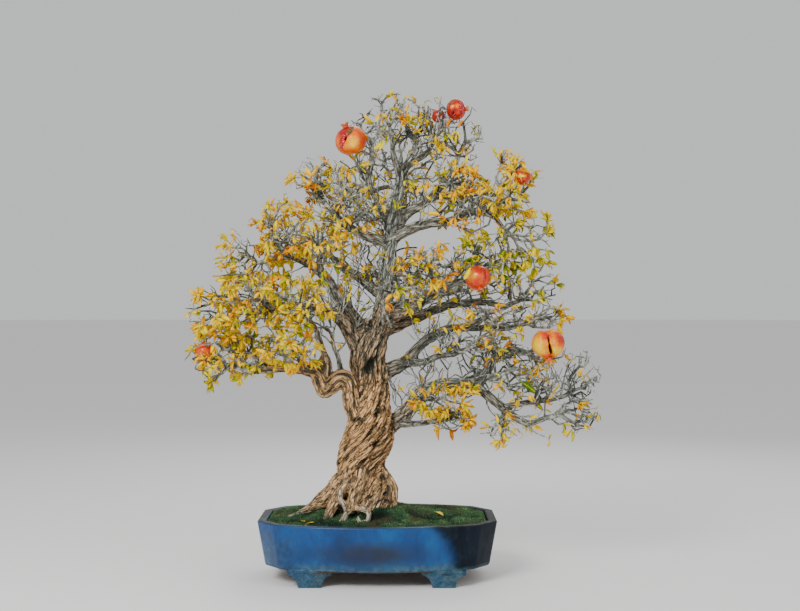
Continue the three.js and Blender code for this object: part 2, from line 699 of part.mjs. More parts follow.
// A place for a twig to reach out to, in the outer part of the spray.
function drawGoal(spray, draw) {
  const goal = drawVector(draw);
  while (goal.length() > twig.fill || goal.length() < twig.hollowCore) {
    goal.copy(drawVector(draw));
  }
  return goal.multiply(vector(spray.reach)).add(vector(spray.centre));
}

// A frame for a three-sided shoot, with its blade's upper side turned to the sky.
function shootFrame(heading, draw) {
  const up = new THREE.Vector3(draw() - 0.5, draw() - 0.5, 1);
  up.addScaledVector(heading, -up.dot(heading)).normalize();
  return { heading, up, across: up.clone().cross(heading) };
}

function planBlade({ heading, up }, neck, draw) {
  const way = heading.clone().addScaledVector(up, -leaf.droop * (leaf.leastDroop + draw())).normalize();
  const length = leaf.length * THREE.MathUtils.lerp(leaf.shortest, 2 - leaf.shortest, draw());
  const tip = neck.clone().addScaledVector(way, length).addScaledVector(up, -leaf.arch * length);
  return { neck, way, tip, length };
}

// A three-sided shoot: its foot is sunk in what it grows from, and it ends in a leaf or a bud.
function shootSolid({ start, end, startRadius, endRadius, frame, blade }) {
  const sections = [{ centre: start, wide: startRadius, low: -startRadius / 2, high: startRadius }];
  if (!blade || start.distanceTo(end) > leaf.stem + seatGap) {
    sections.push({ centre: end, wide: endRadius, low: -endRadius / 2, high: endRadius });
  }
  let tip = end.clone().addScaledVector(frame.heading, twig.bud);
  if (blade) {
    const middle = end.clone().addScaledVector(blade.way, blade.length * leaf.shoulder);
    sections.push({ centre: middle, wide: leaf.halfWidth, low: 0, high: leaf.thickness });
    tip = blade.tip;
  }
  const corners = [
    (part) => [part.wide, part.low],
    (part) => [0, part.high],
    (part) => [-part.wide, part.low],
  ];
  return solid(sleeve(3, sections.length - 1, (ring, side, share) => {
    if (share === 0) {
      return ring === 0 ? start : tip;
    }
    const [aside, above] = corners[side](sections[ring]);
    const point = sections[ring].centre.clone().addScaledVector(frame.across, aside);
    return point.addScaledVector(frame.up, above);
  }));
}

// ---------------------------------------------------------------- keeping pieces apart

const clampShare = (value) => Math.min(Math.max(value, 0), 1);

// Shortest distance between two straight stretches.
function spanDistance(one, other) {
  const run = one.end.clone().sub(one.start);
  const otherRun = other.end.clone().sub(other.start);
  const offset = one.start.clone().sub(other.start);
  const runSquare = Math.max(run.lengthSq(), 1e-9);
  const otherSquare = Math.max(otherRun.lengthSq(), 1e-9);
  const dot = run.dot(otherRun);
  const runOffset = run.dot(offset);
  const otherOffset = otherRun.dot(offset);
  const slack = runSquare * otherSquare - dot * dot;
  let s = slack > 1e-9 ? clampShare((dot * otherOffset - runOffset * otherSquare) / slack) : 0;
  const t = clampShare((dot * s + otherOffset) / otherSquare);
  s = clampShare((dot * t - runOffset) / runSquare);
  const near = one.start.clone().addScaledVector(run, s);
  return near.distanceTo(other.start.clone().addScaledVector(otherRun, t));
}

function spansOf(sections, owner) {
  return sections.slice(1).map((section, i) => {
    const before = sections[i];
    const radius = Math.max(before.radius, section.radius);
    return { start: before.centre, end: section.centre, radius, owner };
  });
}

const taken = [];
taken.push(...spansOf(sectionsAlong(trunk.route, trunk.rings), "trunk"));
Object.keys(limbs).forEach((name, i) => taken.push(...spansOf(limbTubes[i], name)));
stalks.forEach((sections) => taken.push(...spansOf(sections, "stalk")));
for (const spray of sprays) {
  spray.holder = spray.along < 1 ? `feeder_${spray.name}` : spray.limb;
  if (spray.along < 1) {
    taken.push(...spansOf(spray.feeder, spray.holder));
  }
}
for (const { name, centre, radius, crownWay } of fruits) {
  const middle = vector(centre);
  const tip = middle.clone().addScaledVector(vector(crownWay).normalize(), radius * fruit.guard.reach);
  taken.push({ start: middle, end: middle, radius, owner: name });
  taken.push({ start: middle, end: tip, radius: radius * fruit.guard.radius, owner: name });
}

// True where a stretch keeps clear of every other piece. What lies ahead of the cut end that a
// spray grows on from is clear of the limb behind it.
function isClear(span, spray) {
  const { centre, heading } = spray.seat;
  const past = (point) => point.clone().sub(centre).dot(heading);
  const ahead = Math.min(past(span.start), past(span.end)) > span.radius + seatGap;
  return taken.every((other) => {
    if (other.owner === spray.name || (ahead && other.owner === spray.holder)) {
      return true;
    }
    return spanDistance(span, other) > span.radius + other.radius + twig.clearance;
  });
}

// The outer part of a stretch, past the crowd at the joint that it grows from.
const outerPart = (span) => ({ ...span, start: span.start.clone().lerp(span.end, twig.jointCrowd) });

function crossesOwn(span, own) {
  const outer = outerPart(span);
  const nearest = (other) => (span.radius + other.radius) * twig.closeness;
  return own.some((other) => spanDistance(outer, outerPart(other)) < nearest(other));
}

const bladeSpan = (blade) => ({ start: blade.neck, end: blade.tip, radius: leaf.guard });

// Places along a stretch where one later shoot each can leave it.
function forksOf(span, away, shares) {
  const length = span.start.distanceTo(span.end);
  return shares.map((share) => ({
    point: span.start.clone().lerp(span.end, share),
    away: away + length * share,
    radius: THREE.MathUtils.lerp(span.radius, span.endRadius, share) * twig.forkShare,
    heading: span.end.clone().sub(span.start).normalize(),
  }));
}

function makeSpray(spray, index) {
  const draw = seededDraw(index * seed.step + seed.first);
  const { seat } = spray;
  const root = seat.centre.clone().addScaledVector(seat.heading, seatGap);
  const inward = vector(spray.centre).sub(root);
  const hubReach = Math.max(inward.length() * twig.hubShare, twig.hubLeast);
  inward.normalize().lerp(seat.heading, twig.hubTurn).normalize();
  const hub = root.clone().addScaledVector(inward, hubReach);
  const endRadius = seat.radius * twig.stemTaper;
  const stem = { start: root, end: hub, radius: seat.radius, endRadius, owner: spray.name };
  const stemSections = [{ ...seat, centre: root }, { ...seat, centre: hub, radius: endRadius }];
  const solids = [solid(tube(stemSections, limbSides.thin))];
  const own = [stem];
  let joints = forksOf(stem, 0, twig.stemForks);
  let grown = 0;
  let leaves = 0;

  const grow = (joint, frame, end, blade) => {
    const { point: start, radius } = joint;
    const span = { start, end, radius, endRadius: twig.tipRadius, owner: spray.name };
    const spans = blade ? [span, { ...bladeSpan(blade), owner: spray.name }] : [span];
    if (!spans.every((part) => isClear(part, spray) && !crossesOwn(part, own))) {
      return false;
    }
    solids.push(shootSolid({ start, end, startRadius: radius, endRadius: twig.tipRadius, frame, blade }));
    own.push(...spans);
    joints = joints.filter((other) => other !== joint);
    joints.push(...forksOf(span, joint.away, twig.forks));
    leaves += blade ? 1 : 0;
    return true;
  };

  for (let attempt = 0; attempt < spray.twigs * twig.attempts && grown < spray.twigs; attempt += 1) {
    const goal = drawGoal(spray, draw);
    const cost = ({ point, away }) => point.distanceTo(goal) + twig.crowding * away;
    const joint = joints.reduce((best, other) => (cost(other) < cost(best) ? other : best));
    const frame = shootFrame(goal.clone().sub(joint.point).normalize(), draw);
    const blade = leaves < spray.leaves ? planBlade(frame, goal, draw) : null;
    grown += grow(joint, frame, goal, blade) ? 1 : 0;
  }
  for (let attempt = 0; attempt < spray.leaves * twig.attempts && leaves < spray.leaves; attempt += 1) {
    const joint = joints[Math.floor(draw() * joints.length)];
    const aside = drawVector(draw).normalize().multiplyScalar(leaf.spread);
    const frame = shootFrame(aside.add(joint.heading).normalize(), draw);
    const neck = joint.point.clone().addScaledVector(frame.heading, leaf.stem);
    grow(joint, frame, neck, planBlade(frame, neck, draw));
  }
  taken.push(...own);
  const finish = spray.leaves > spray.twigs / 2 ? finishes.leaves : finishes.twigs;
  return named(`spray_${spray.name}`, wholeBody(fuse(solids)), finish);
}

// ---------------------------------------------------------------- the whole object

const bonsai = new THREE.Group();
const treeBase = treeBaseCutter();
bonsai.add(makePot(), makeSoil(treeBase), makeMoss(treeBase), makeTree());
bonsai.add(...fruits.map(makeFruit), ...sprays.map(makeSpray));

// The origin is the middle of the whole object's footprint, on the ground.
const extent = new THREE.Box3().setFromObject(bonsai);
const footprint = extent.getCenter(new THREE.Vector3());
bonsai.position.set(-footprint.x, -footprint.y, -extent.min.z);

export default bonsai;
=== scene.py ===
import math
import random

import bmesh
import bpy
import numpy as np
from mathutils import Matrix, Vector, noise


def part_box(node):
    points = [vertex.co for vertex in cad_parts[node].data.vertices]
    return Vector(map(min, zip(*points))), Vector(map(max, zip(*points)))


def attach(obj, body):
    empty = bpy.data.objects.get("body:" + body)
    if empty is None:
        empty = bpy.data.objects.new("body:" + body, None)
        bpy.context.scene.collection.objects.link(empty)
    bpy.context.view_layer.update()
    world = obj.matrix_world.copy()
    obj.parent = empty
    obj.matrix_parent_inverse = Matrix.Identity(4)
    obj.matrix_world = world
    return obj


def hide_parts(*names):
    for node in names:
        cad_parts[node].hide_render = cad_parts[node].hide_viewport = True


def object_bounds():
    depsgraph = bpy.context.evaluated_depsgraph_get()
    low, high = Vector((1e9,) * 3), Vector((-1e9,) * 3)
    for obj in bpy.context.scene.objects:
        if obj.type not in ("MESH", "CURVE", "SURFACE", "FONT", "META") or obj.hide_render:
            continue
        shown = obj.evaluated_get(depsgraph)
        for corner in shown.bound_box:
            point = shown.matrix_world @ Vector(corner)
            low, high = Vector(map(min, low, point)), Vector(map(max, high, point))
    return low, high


# A pomegranate bonsai in autumn leaf. Everything is in metres, round the middle of the pot.

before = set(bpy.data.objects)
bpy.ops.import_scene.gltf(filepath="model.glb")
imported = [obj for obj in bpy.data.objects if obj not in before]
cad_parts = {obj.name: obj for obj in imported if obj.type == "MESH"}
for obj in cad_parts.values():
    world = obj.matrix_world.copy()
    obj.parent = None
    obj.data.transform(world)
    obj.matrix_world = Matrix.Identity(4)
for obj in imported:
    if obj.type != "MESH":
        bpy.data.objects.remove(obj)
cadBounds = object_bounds()
potLow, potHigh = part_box("pot")
potMiddle = Vector(((potLow.x + potHigh.x) / 2, (potLow.y + potHigh.y) / 2, 0))
boxLow, boxHigh = Vector(cadBounds[0]), Vector(cadBounds[1])


# Camera, light and floor

studio = {
    "cameraPlace": (0.036, -2.2, 0.4372),
    "lens": 60.92,
    "sensor": 36,
    "sight": 200,
    "floorRadius": 40,
    "floorSides": 96,
    "floorColour": (0.86, 0.85, 0.84, 1),
    "floorRoughness": 0.9,
    "skyColour": (0.9, 0.91, 0.925, 1),
    "skyStrength": 0.75,
    "lamps": [  # name, place, power, size
        ("keyLamp", (-0.9, -1.8, 1.5), 46, 0.8),
        ("fillLamp", (1.5, -1.3, 0.9), 8, 1.4),
        ("backLamp", (0.5, 1.5, 1.5), 12, 1.2),
    ],
    "aim": (0.03, 0, 0.4),
}


def linked(name, data):
    made = bpy.data.objects.new(name, data)
    bpy.context.scene.collection.objects.link(made)
    return made


def makeStudio():
    scene = bpy.context.scene
    camera = linked("camera", bpy.data.cameras.new("camera"))
    camera.data.lens = studio["lens"]
    camera.data.sensor_width = studio["sensor"]
    camera.data.clip_end = studio["sight"]
    camera.location = potMiddle + Vector(studio["cameraPlace"])
    camera.rotation_euler = (math.pi / 2, 0, 0)
    scene.camera = camera
    for name, place, power, size in studio["lamps"]:
        lamp = linked(name, bpy.data.lights.new(name, "AREA"))
        lamp.data.energy = power
        lamp.data.size = size
        lamp.location = potMiddle + Vector(place)
        way = potMiddle + Vector(studio["aim"]) - lamp.location
        lamp.rotation_euler = way.to_track_quat("-Z", "Y").to_euler()
    world = bpy.data.worlds.new("studioSky")
    world.use_nodes = True
    sky = world.node_tree.nodes["Background"]
    sky.inputs["Color"].default_value = studio["skyColour"]
    sky.inputs["Strength"].default_value = studio["skyStrength"]
    scene.world = world
    bm = bmesh.new()
    bmesh.ops.create_circle(bm, cap_ends=True, segments=studio["floorSides"], radius=studio["floorRadius"])
    floor = linked("floor", meshOf(bm, "floor"))
    paper, _, shader = newMaterial("floorPaper", studio["floorRoughness"])
    shader.inputs["Base Color"].default_value = studio["floorColour"]
    floor.data.materials.append(paper)
    print("studio: camera, lamps and floor")


# Materials are built from a few small helpers.

def newMaterial(name, roughness, gloss=0.2):
    material = bpy.data.materials.new(name)
    material.use_nodes = True
    shader = material.node_tree.nodes["Principled BSDF"]
    shader.inputs["Roughness"].default_value = roughness
    shader.inputs["Specular IOR Level"].default_value = gloss
    return material, material.node_tree, shader


def addNode(tree, kind, settings=None, values=None, wires=None):
    made = tree.nodes.new(kind)
    for key, value in (settings or {}).items():
        setattr(made, key, value)
    for key, value in (values or {}).items():
        made.inputs[key].default_value = value
    for key, socket in (wires or {}).items():
        tree.links.new(socket, made.inputs[key])
    return made


def objectPlace(tree, centre=(0, 0, 0), scale=(1, 1, 1)):
    # object coordinates measured from a place on the piece
    place = addNode(tree, "ShaderNodeTexCoord").outputs["Object"]
    moved = addNode(tree, "ShaderNodeVectorMath", {"operation": "SUBTRACT"}, {1: centre}, {0: place})
    if scale == (1, 1, 1):
        return moved.outputs[0]
    return addNode(tree, "ShaderNodeMapping", None, {"Scale": scale}, {"Vector": moved.outputs[0]}).outputs[0]


def attribute(tree, name, output="Fac"):
    return addNode(tree, "ShaderNodeAttribute", {"attribute_name": name}).outputs[output]


def grainNoise(tree, vector, scale, detail=4, rough=0.55, warp=0.0):
    values = {"Scale": scale, "Detail": detail, "Roughness": rough, "Distortion": warp}
    return addNode(tree, "ShaderNodeTexNoise", None, values, {"Vector": vector}).outputs["Fac"]


def ramp(tree, factor, stops):
    made = addNode(tree, "ShaderNodeValToRGB", None, None, {"Fac": factor})
    slots = made.color_ramp.elements
    while len(slots) < len(stops):
        slots.new(0.5)
    for slot, (place, colour) in zip(slots, stops):
        slot.position = place
        slot.color = (*colour, 1)
    return made.outputs["Color"]


def grade(tree, value, low, high, start=0.0, end=1.0):
    values = {"From Min": low, "From Max": high, "To Min": start, "To Max": end}
    settings = {"interpolation_type": "SMOOTHSTEP"}
    return addNode(tree, "ShaderNodeMapRange", settings, values, {"Value": value}).outputs["Result"]


def reckon(tree, kind, first, second, clamp=True):
    made = addNode(tree, "ShaderNodeMath", {"operation": kind, "use_clamp": clamp})
    for index, term in enumerate((first, second)):
        if isinstance(term, (int, float)):
            made.inputs[index].default_value = term
        else:
            tree.links.new(term, made.inputs[index])
    return made.outputs[0]


def farFrom(tree, value, middle):
    # how far a value is from a middle, either way
    return reckon(tree, "ABSOLUTE", reckon(tree, "SUBTRACT", value, middle, False), 0, False)


def blendColour(tree, factor, first, second, kind="MIX"):
    made = addNode(tree, "ShaderNodeMix", {"data_type": "RGBA", "blend_type": kind})
    sockets = {"factor": made.inputs[0], "first": made.inputs[6], "second": made.inputs[7]}
    for key, term in (("factor", factor), ("first", first), ("second", second)):
        if isinstance(term, (int, float)):
            sockets[key].default_value = term
        elif isinstance(term, tuple):
            sockets[key].default_value = (*term, 1)
        else:
            tree.links.new(term, sockets[key])
    return made.outputs[2]


def relief(tree, shader, height, distance, strength=1.0, under=None):
    wires = {"Height": height}
    if under:
        wires["Normal"] = under
    values = {"Distance": distance, "Strength": strength}
    made = addNode(tree, "ShaderNodeBump", None, values, wires)
    tree.links.new(made.outputs[0], shader.inputs["Normal"])
    return made.outputs[0]


def roughen(tree, shader, factor, low, high):
    made = addNode(tree, "ShaderNodeMapRange", None, {"To Min": low, "To Max": high}, {"Value": factor})
    tree.links.new(made.outputs[0], shader.inputs["Roughness"])


# Meshes

def triangleCount(mesh):
    return sum(len(face.vertices) - 2 for face in mesh.polygons)


def finishPiece(name, mesh, materials, nodes=()):
    mesh.name = name
    for material in materials:
        mesh.materials.append(material)
    mesh.polygons.foreach_set("use_smooth", [True] * len(mesh.polygons))
    piece = linked(name, mesh)
    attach(piece, "root")
    if nodes:
        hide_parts(*nodes)
    print(f"{name}: {triangleCount(mesh)} triangles")


def meshOf(bm, name):
    mesh = bpy.data.meshes.new(name)
    bm.to_mesh(mesh)
    bm.free()
    return mesh


def applied(data, *modifiers):
    # the mesh as it leaves a row of modifiers, each given as its kind and its settings
    holder = linked("holder", data)
    for kind, settings in modifiers:
        modifier = holder.modifiers.new(kind.title(), kind)
        for key, value in settings.items():
            setattr(modifier, key, value)
    result = bpy.data.meshes.new_from_object(holder.evaluated_get(bpy.context.evaluated_depsgraph_get()))
    bpy.data.objects.remove(holder)
    return result


def strandMesh(strands, roundness):
    # tubes along lists of (point, radius)
    data = bpy.data.curves.new("strands", "CURVE")
    data.dimensions = "3D"
    data.bevel_depth = 1
    data.bevel_resolution = roundness
    data.use_fill_caps = True
    for strand in strands:
        spline = data.splines.new("POLY")
        spline.points.add(len(strand) - 1)
        spline.points.foreach_set("co", [value for point, radius in strand for value in (*point, 1)])
        spline.points.foreach_set("radius", [radius for point, radius in strand])
    mesh = applied(data)
    bpy.data.curves.remove(data)
    return mesh


def ringBody(rings):
    # a closed body from rings of corners, capped at the first and the last
    bm = bmesh.new()
    edges = []
    for ring in rings:
        loop = [bm.verts.new(spot) for spot in ring]
        made = [bm.edges.new((loop[index - 1], loop[index])) for index in range(len(loop))]
        if edges:
            bmesh.ops.bridge_loops(bm, edges=edges + made)
        else:
            bm.faces.new(loop)
        edges = made
    bm.faces.new(loop)
    bmesh.ops.recalc_face_normals(bm, faces=bm.faces)
    return bm


def placesOf(mesh):
    places = np.empty(len(mesh.vertices) * 3)
    mesh.vertices.foreach_get("co", places)
    return places.reshape(-1, 3)


def normalsOf(mesh):
    normals = np.empty(len(mesh.vertices) * 3, np.float32)
    mesh.vertex_normals.foreach_get("vector", normals)
    return normals.reshape(-1, 3)


def setPlaces(mesh, places):
    mesh.vertices.foreach_set("co", places.astype(np.float32).ravel())
    mesh.update()


def setAttribute(mesh, name, values, kind="FLOAT"):
    layer = mesh.attributes.new(name, kind, "POINT")
    layer.data.foreach_set("value" if kind == "FLOAT" else "vector", np.asarray(values, np.float32).ravel())


def smoothStep(values, low, high):
    share = np.clip((values - low) / (high - low), 0, 1)
    return share * share * (3 - 2 * share)


def smoothBand(values, start, full, stop, end):
    # one between two of the four values, and nothing outside the other two
    return smoothStep(values, start, full) * (1 - smoothStep(values, stop, end))


def randomOffset(chance):
    return Vector([chance.uniform(-1, 1) for axis in range(3)])


def randomWay(chance):
    return Vector([chance.gauss(0, 1) for axis in range(3)]).normalized()


def scaled(vector, sizes):
    return Vector([part * size for part, size in zip(vector, sizes)])


def noiseAt(places, octaves=3):
    return np.array([noise.fractal(place, 1.0, 2.1, octaves) for place in places.tolist()])


# Tree: the bole, limbs and roots are laid out as tubes along routes of (x, y, z, radius) round the
# pot's middle, fused into one skin, and then the skin is drawn in along the grooves of the bark.

boleRoute = [
    (-0.024, 0, 0.062, 0.04),
    (-0.025, 0, 0.085, 0.057),
    (-0.024, 0, 0.112, 0.055),
    (-0.023, 0, 0.14, 0.049),
    (-0.028, 0, 0.165, 0.0385),
    (-0.026, 0, 0.193, 0.0405),
    (-0.014, 0, 0.224, 0.042),
    (-0.012, 0, 0.257, 0.037),
    (-0.014, 0, 0.288, 0.034),
    (-0.013, 0, 0.319, 0.029),
    (-0.018, 0, 0.349, 0.029),
    (-0.012, 0, 0.38, 0.029),
    (-0.002, 0, 0.412, 0.022),
]

limbs = {
    "leader": [
        (0, 0, 0.385, 0.02), (0.008, 0, 0.43, 0.016), (0.017, -0.005, 0.48, 0.0135),
        (0.02, 0, 0.545, 0.012), (0.034, 0.005, 0.625, 0.009), (0.036, 0.005, 0.655, 0.008),
    ],
    "topLeft": [(0.036, 0.005, 0.645, 0.007), (0.028, 0, 0.675, 0.0055), (0.022, -0.005, 0.712, 0.004)],
    "topRight": [
        (0.034, 0.005, 0.64, 0.007), (0.052, 0.01, 0.666, 0.006), (0.078, 0.015, 0.685, 0.005),
        (0.09, 0.015, 0.702, 0.004),
    ],
    "leftLow": [
        (-0.03, -0.007, 0.238, 0.012), (-0.041, -0.0205, 0.281, 0.016), (-0.046, -0.028, 0.312, 0.015),
        (-0.06, -0.03, 0.32, 0.014), (-0.074, -0.03, 0.308, 0.014), (-0.086, -0.028, 0.3, 0.0125),
        (-0.092, -0.028, 0.315, 0.012), (-0.104, -0.03, 0.33, 0.01), (-0.147, -0.04, 0.337, 0.0075),
        (-0.202, -0.05, 0.332, 0.005),
    ],
    "leftKnee": [
        (-0.084, -0.026, 0.3, 0.0105), (-0.083, -0.022, 0.335, 0.0105), (-0.085, -0.022, 0.351, 0.0105),
        (-0.087, -0.025, 0.364, 0.0045), (-0.098, -0.036, 0.398, 0.004), (-0.112, -0.054, 0.42, 0.0038),
    ],
    "kneeBack": [
        (-0.057, -0.026, 0.318, 0.006), (-0.0626, -0.018, 0.353, 0.0042), (-0.071, -0.02, 0.371, 0.0038),
        (-0.074, -0.022, 0.387, 0.0034), (-0.083, -0.032, 0.405, 0.003),
    ],
    "leftMid": [
        (-0.026, -0.005, 0.361, 0.0145), (-0.045, -0.015, 0.394, 0.013), (-0.064, -0.025, 0.42, 0.0105),
        (-0.095, -0.035, 0.428, 0.0085), (-0.145, -0.046, 0.432, 0.007), (-0.202, -0.055, 0.426, 0.005),
    ],
    "leftHigh": [
        (-0.016, 0.01, 0.383, 0.014), (-0.043, 0.02, 0.421, 0.0115), (-0.069, 0.02, 0.459, 0.0095),
        (-0.098, 0.015, 0.494, 0.008), (-0.156, 0.005, 0.527, 0.005),
    ],
    "upperLeft": [
        (0.02, 0, 0.535, 0.01), (-0.011, -0.01, 0.547, 0.0085), (-0.04, -0.015, 0.558, 0.0075),
        (-0.061, -0.02, 0.574, 0.0065), (-0.08, -0.02, 0.597, 0.0055), (-0.09, -0.02, 0.616, 0.0045),
    ],
    "crownLeft": [
        (0.023, 0.005, 0.563, 0.008), (0, 0, 0.608, 0.007), (-0.014, -0.01, 0.639, 0.006),
        (-0.01, -0.018, 0.667, 0.0045),
    ],
    "rightHigh": [
        (0.021, 0, 0.543, 0.01), (0.049, -0.005, 0.56, 0.0095), (0.08, -0.01, 0.568, 0.0085),
        (0.112, -0.015, 0.573, 0.0075), (0.142, -0.02, 0.584, 0.0065), (0.177, -0.025, 0.593, 0.005),
    ],
    "crownRight": [
        (0.033, 0.005, 0.572, 0.01), (0.052, 0.01, 0.589, 0.009), (0.075, 0.01, 0.605, 0.008),
        (0.101, 0.01, 0.63, 0.007), (0.127, 0.005, 0.67, 0.0045),
    ],
    "rightMid": [
        (0.003, 0, 0.403, 0.0145), (0.031, -0.01, 0.423, 0.0105), (0.055, -0.02, 0.432, 0.009),
        (0.081, -0.025, 0.45, 0.0075), (0.11, -0.03, 0.468, 0.0065), (0.142, -0.035, 0.477, 0.005),
    ],
    "rightBack": [
        (0.007, 0.01, 0.396, 0.013), (0.043, 0.025, 0.409, 0.01), (0.086, 0.035, 0.427, 0.0085),
        (0.129, 0.04, 0.441, 0.0075), (0.175, 0.04, 0.441, 0.006), (0.209, 0.035, 0.436, 0.0045),
    ],
    "rightLow": [
        (-0.006, 0.005, 0.318, 0.016), (0.023, 0.01, 0.334, 0.0125), (0.046, 0.01, 0.347, 0.011),
        (0.064, 0.005, 0.367, 0.009), (0.088, 0, 0.387, 0.008), (0.127, -0.005, 0.4, 0.007),
        (0.21, -0.015, 0.4, 0.0045),
    ],
    "rightLowFork": [
        (0.043, 0.008, 0.344, 0.008), (0.075, -0.005, 0.346, 0.0065), (0.096, -0.012, 0.355, 0.0055),
        (0.122, -0.02, 0.358, 0.0045),
    ],
    "sweep": [
        (-0.01, 0.005, 0.23, 0.0195), (0.026, 0.01, 0.243, 0.0145), (0.049, 0.01, 0.267, 0.013),
        (0.07, 0.005, 0.294, 0.0115), (0.101, -0.005, 0.309, 0.0105), (0.157, -0.01, 0.313, 0.0095),
        (0.175, -0.01, 0.33, 0.008), (0.19, -0.01, 0.354, 0.005),
    ],
    "sweepLow": [
        (0.154, -0.01, 0.313, 0.009), (0.181, -0.015, 0.289, 0.0085), (0.203, -0.02, 0.271, 0.0075),
        (0.224, -0.025, 0.256, 0.006), (0.245, -0.025, 0.248, 0.005), (0.271, -0.025, 0.257, 0.0045),
    ],
    "sweepFar": [
        (0.202, -0.02, 0.273, 0.0065), (0.233, -0.015, 0.279, 0.0055), (0.27, -0.012, 0.284, 0.005),
        (0.3, -0.01, 0.29, 0.004),
    ],
    "sweepTwig": [
        (0.029, 0.008, 0.246, 0.007), (0.059, -0.005, 0.246, 0.0055), (0.088, -0.017, 0.25, 0.0045),
    ],
    "backLeft": [
        (0.012, 0.004, 0.45, 0.012), (-0.022, 0.045, 0.478, 0.0095), (-0.06, 0.07, 0.502, 0.0075),
        (-0.082, 0.078, 0.522, 0.005),
    ],
    "backRight": [
        (0.004, 0.008, 0.415, 0.013), (0.035, 0.052, 0.436, 0.01), (0.078, 0.076, 0.45, 0.008),
        (0.112, 0.082, 0.458, 0.0055),
    ],
    "backTop": [
        (0.024, 0.002, 0.565, 0.009), (0.038, 0.038, 0.592, 0.0075), (0.044, 0.062, 0.622, 0.006),
        (0.044, 0.07, 0.64, 0.005),
    ],
}

roots = {
    "creeper": [
        (-0.036, -0.012, 0.17, 0.017), (-0.063, -0.026, 0.146, 0.0145), (-0.085, -0.033, 0.124, 0.0105),
        (-0.108, -0.03, 0.111, 0.007), (-0.13, -0.022, 0.102, 0.0045), (-0.148, -0.014, 0.095, 0.003),
    ],
    "leftLeg": [
        (-0.05, -0.034, 0.157, 0.012), (-0.064, -0.05, 0.134, 0.0095), (-0.072, -0.06, 0.118, 0.009),
        (-0.079, -0.067, 0.1, 0.0075), (-0.084, -0.072, 0.086, 0.005),
    ],
    "thinLeg": [
        (-0.048, -0.04, 0.152, 0.007), (-0.059, -0.055, 0.136, 0.005), (-0.049, -0.067, 0.113, 0.0045),
        (-0.053, -0.074, 0.1, 0.004), (-0.056, -0.078, 0.088, 0.003),
    ],
    "centreLeg": [
        (-0.026, -0.034, 0.162, 0.014), (-0.035, -0.054, 0.135, 0.0105), (-0.038, -0.063, 0.121, 0.0085),
        (-0.05, -0.072, 0.107, 0.004), (-0.062, -0.08, 0.093, 0.003),
    ],
    "centreFork": [
        (-0.037, -0.06, 0.125, 0.008), (-0.026, -0.07, 0.119, 0.0062), (-0.016, -0.079, 0.115, 0.0052),
        (-0.0115, -0.086, 0.109, 0.0046), (-0.0135, -0.0905, 0.1025, 0.0042),
        (-0.021, -0.0925, 0.0995, 0.0039), (-0.0285, -0.0905, 0.102, 0.0034), (-0.029, -0.087, 0.109, 0.0024),
    ],
    "rightButtress": [
        (0.001, -0.006, 0.178, 0.01), (0.009, -0.012, 0.156, 0.016), (0.013, -0.015, 0.14, 0.02),
        (0.014, -0.015, 0.112, 0.02), (0.014, -0.016, 0.084, 0.02),
    ],
    "backButtress": [
        (-0.02, 0.02, 0.175, 0.02), (-0.021, 0.052, 0.132, 0.015), (-0.02, 0.082, 0.11, 0.009),
        (-0.016, 0.104, 0.096, 0.005),
    ],
    "backLeftRunner": [
        (-0.044, 0.016, 0.172, 0.018), (-0.08, 0.043, 0.13, 0.012), (-0.104, 0.068, 0.11, 0.007),
        (-0.122, 0.084, 0.096, 0.0045),
    ],
    "backRightRunner": [
        (0.002, 0.014, 0.165, 0.015), (0.014, 0.04, 0.13, 0.012), (0.026, 0.064, 0.11, 0.008),
        (0.035, 0.084, 0.097, 0.0045),
    ],
}

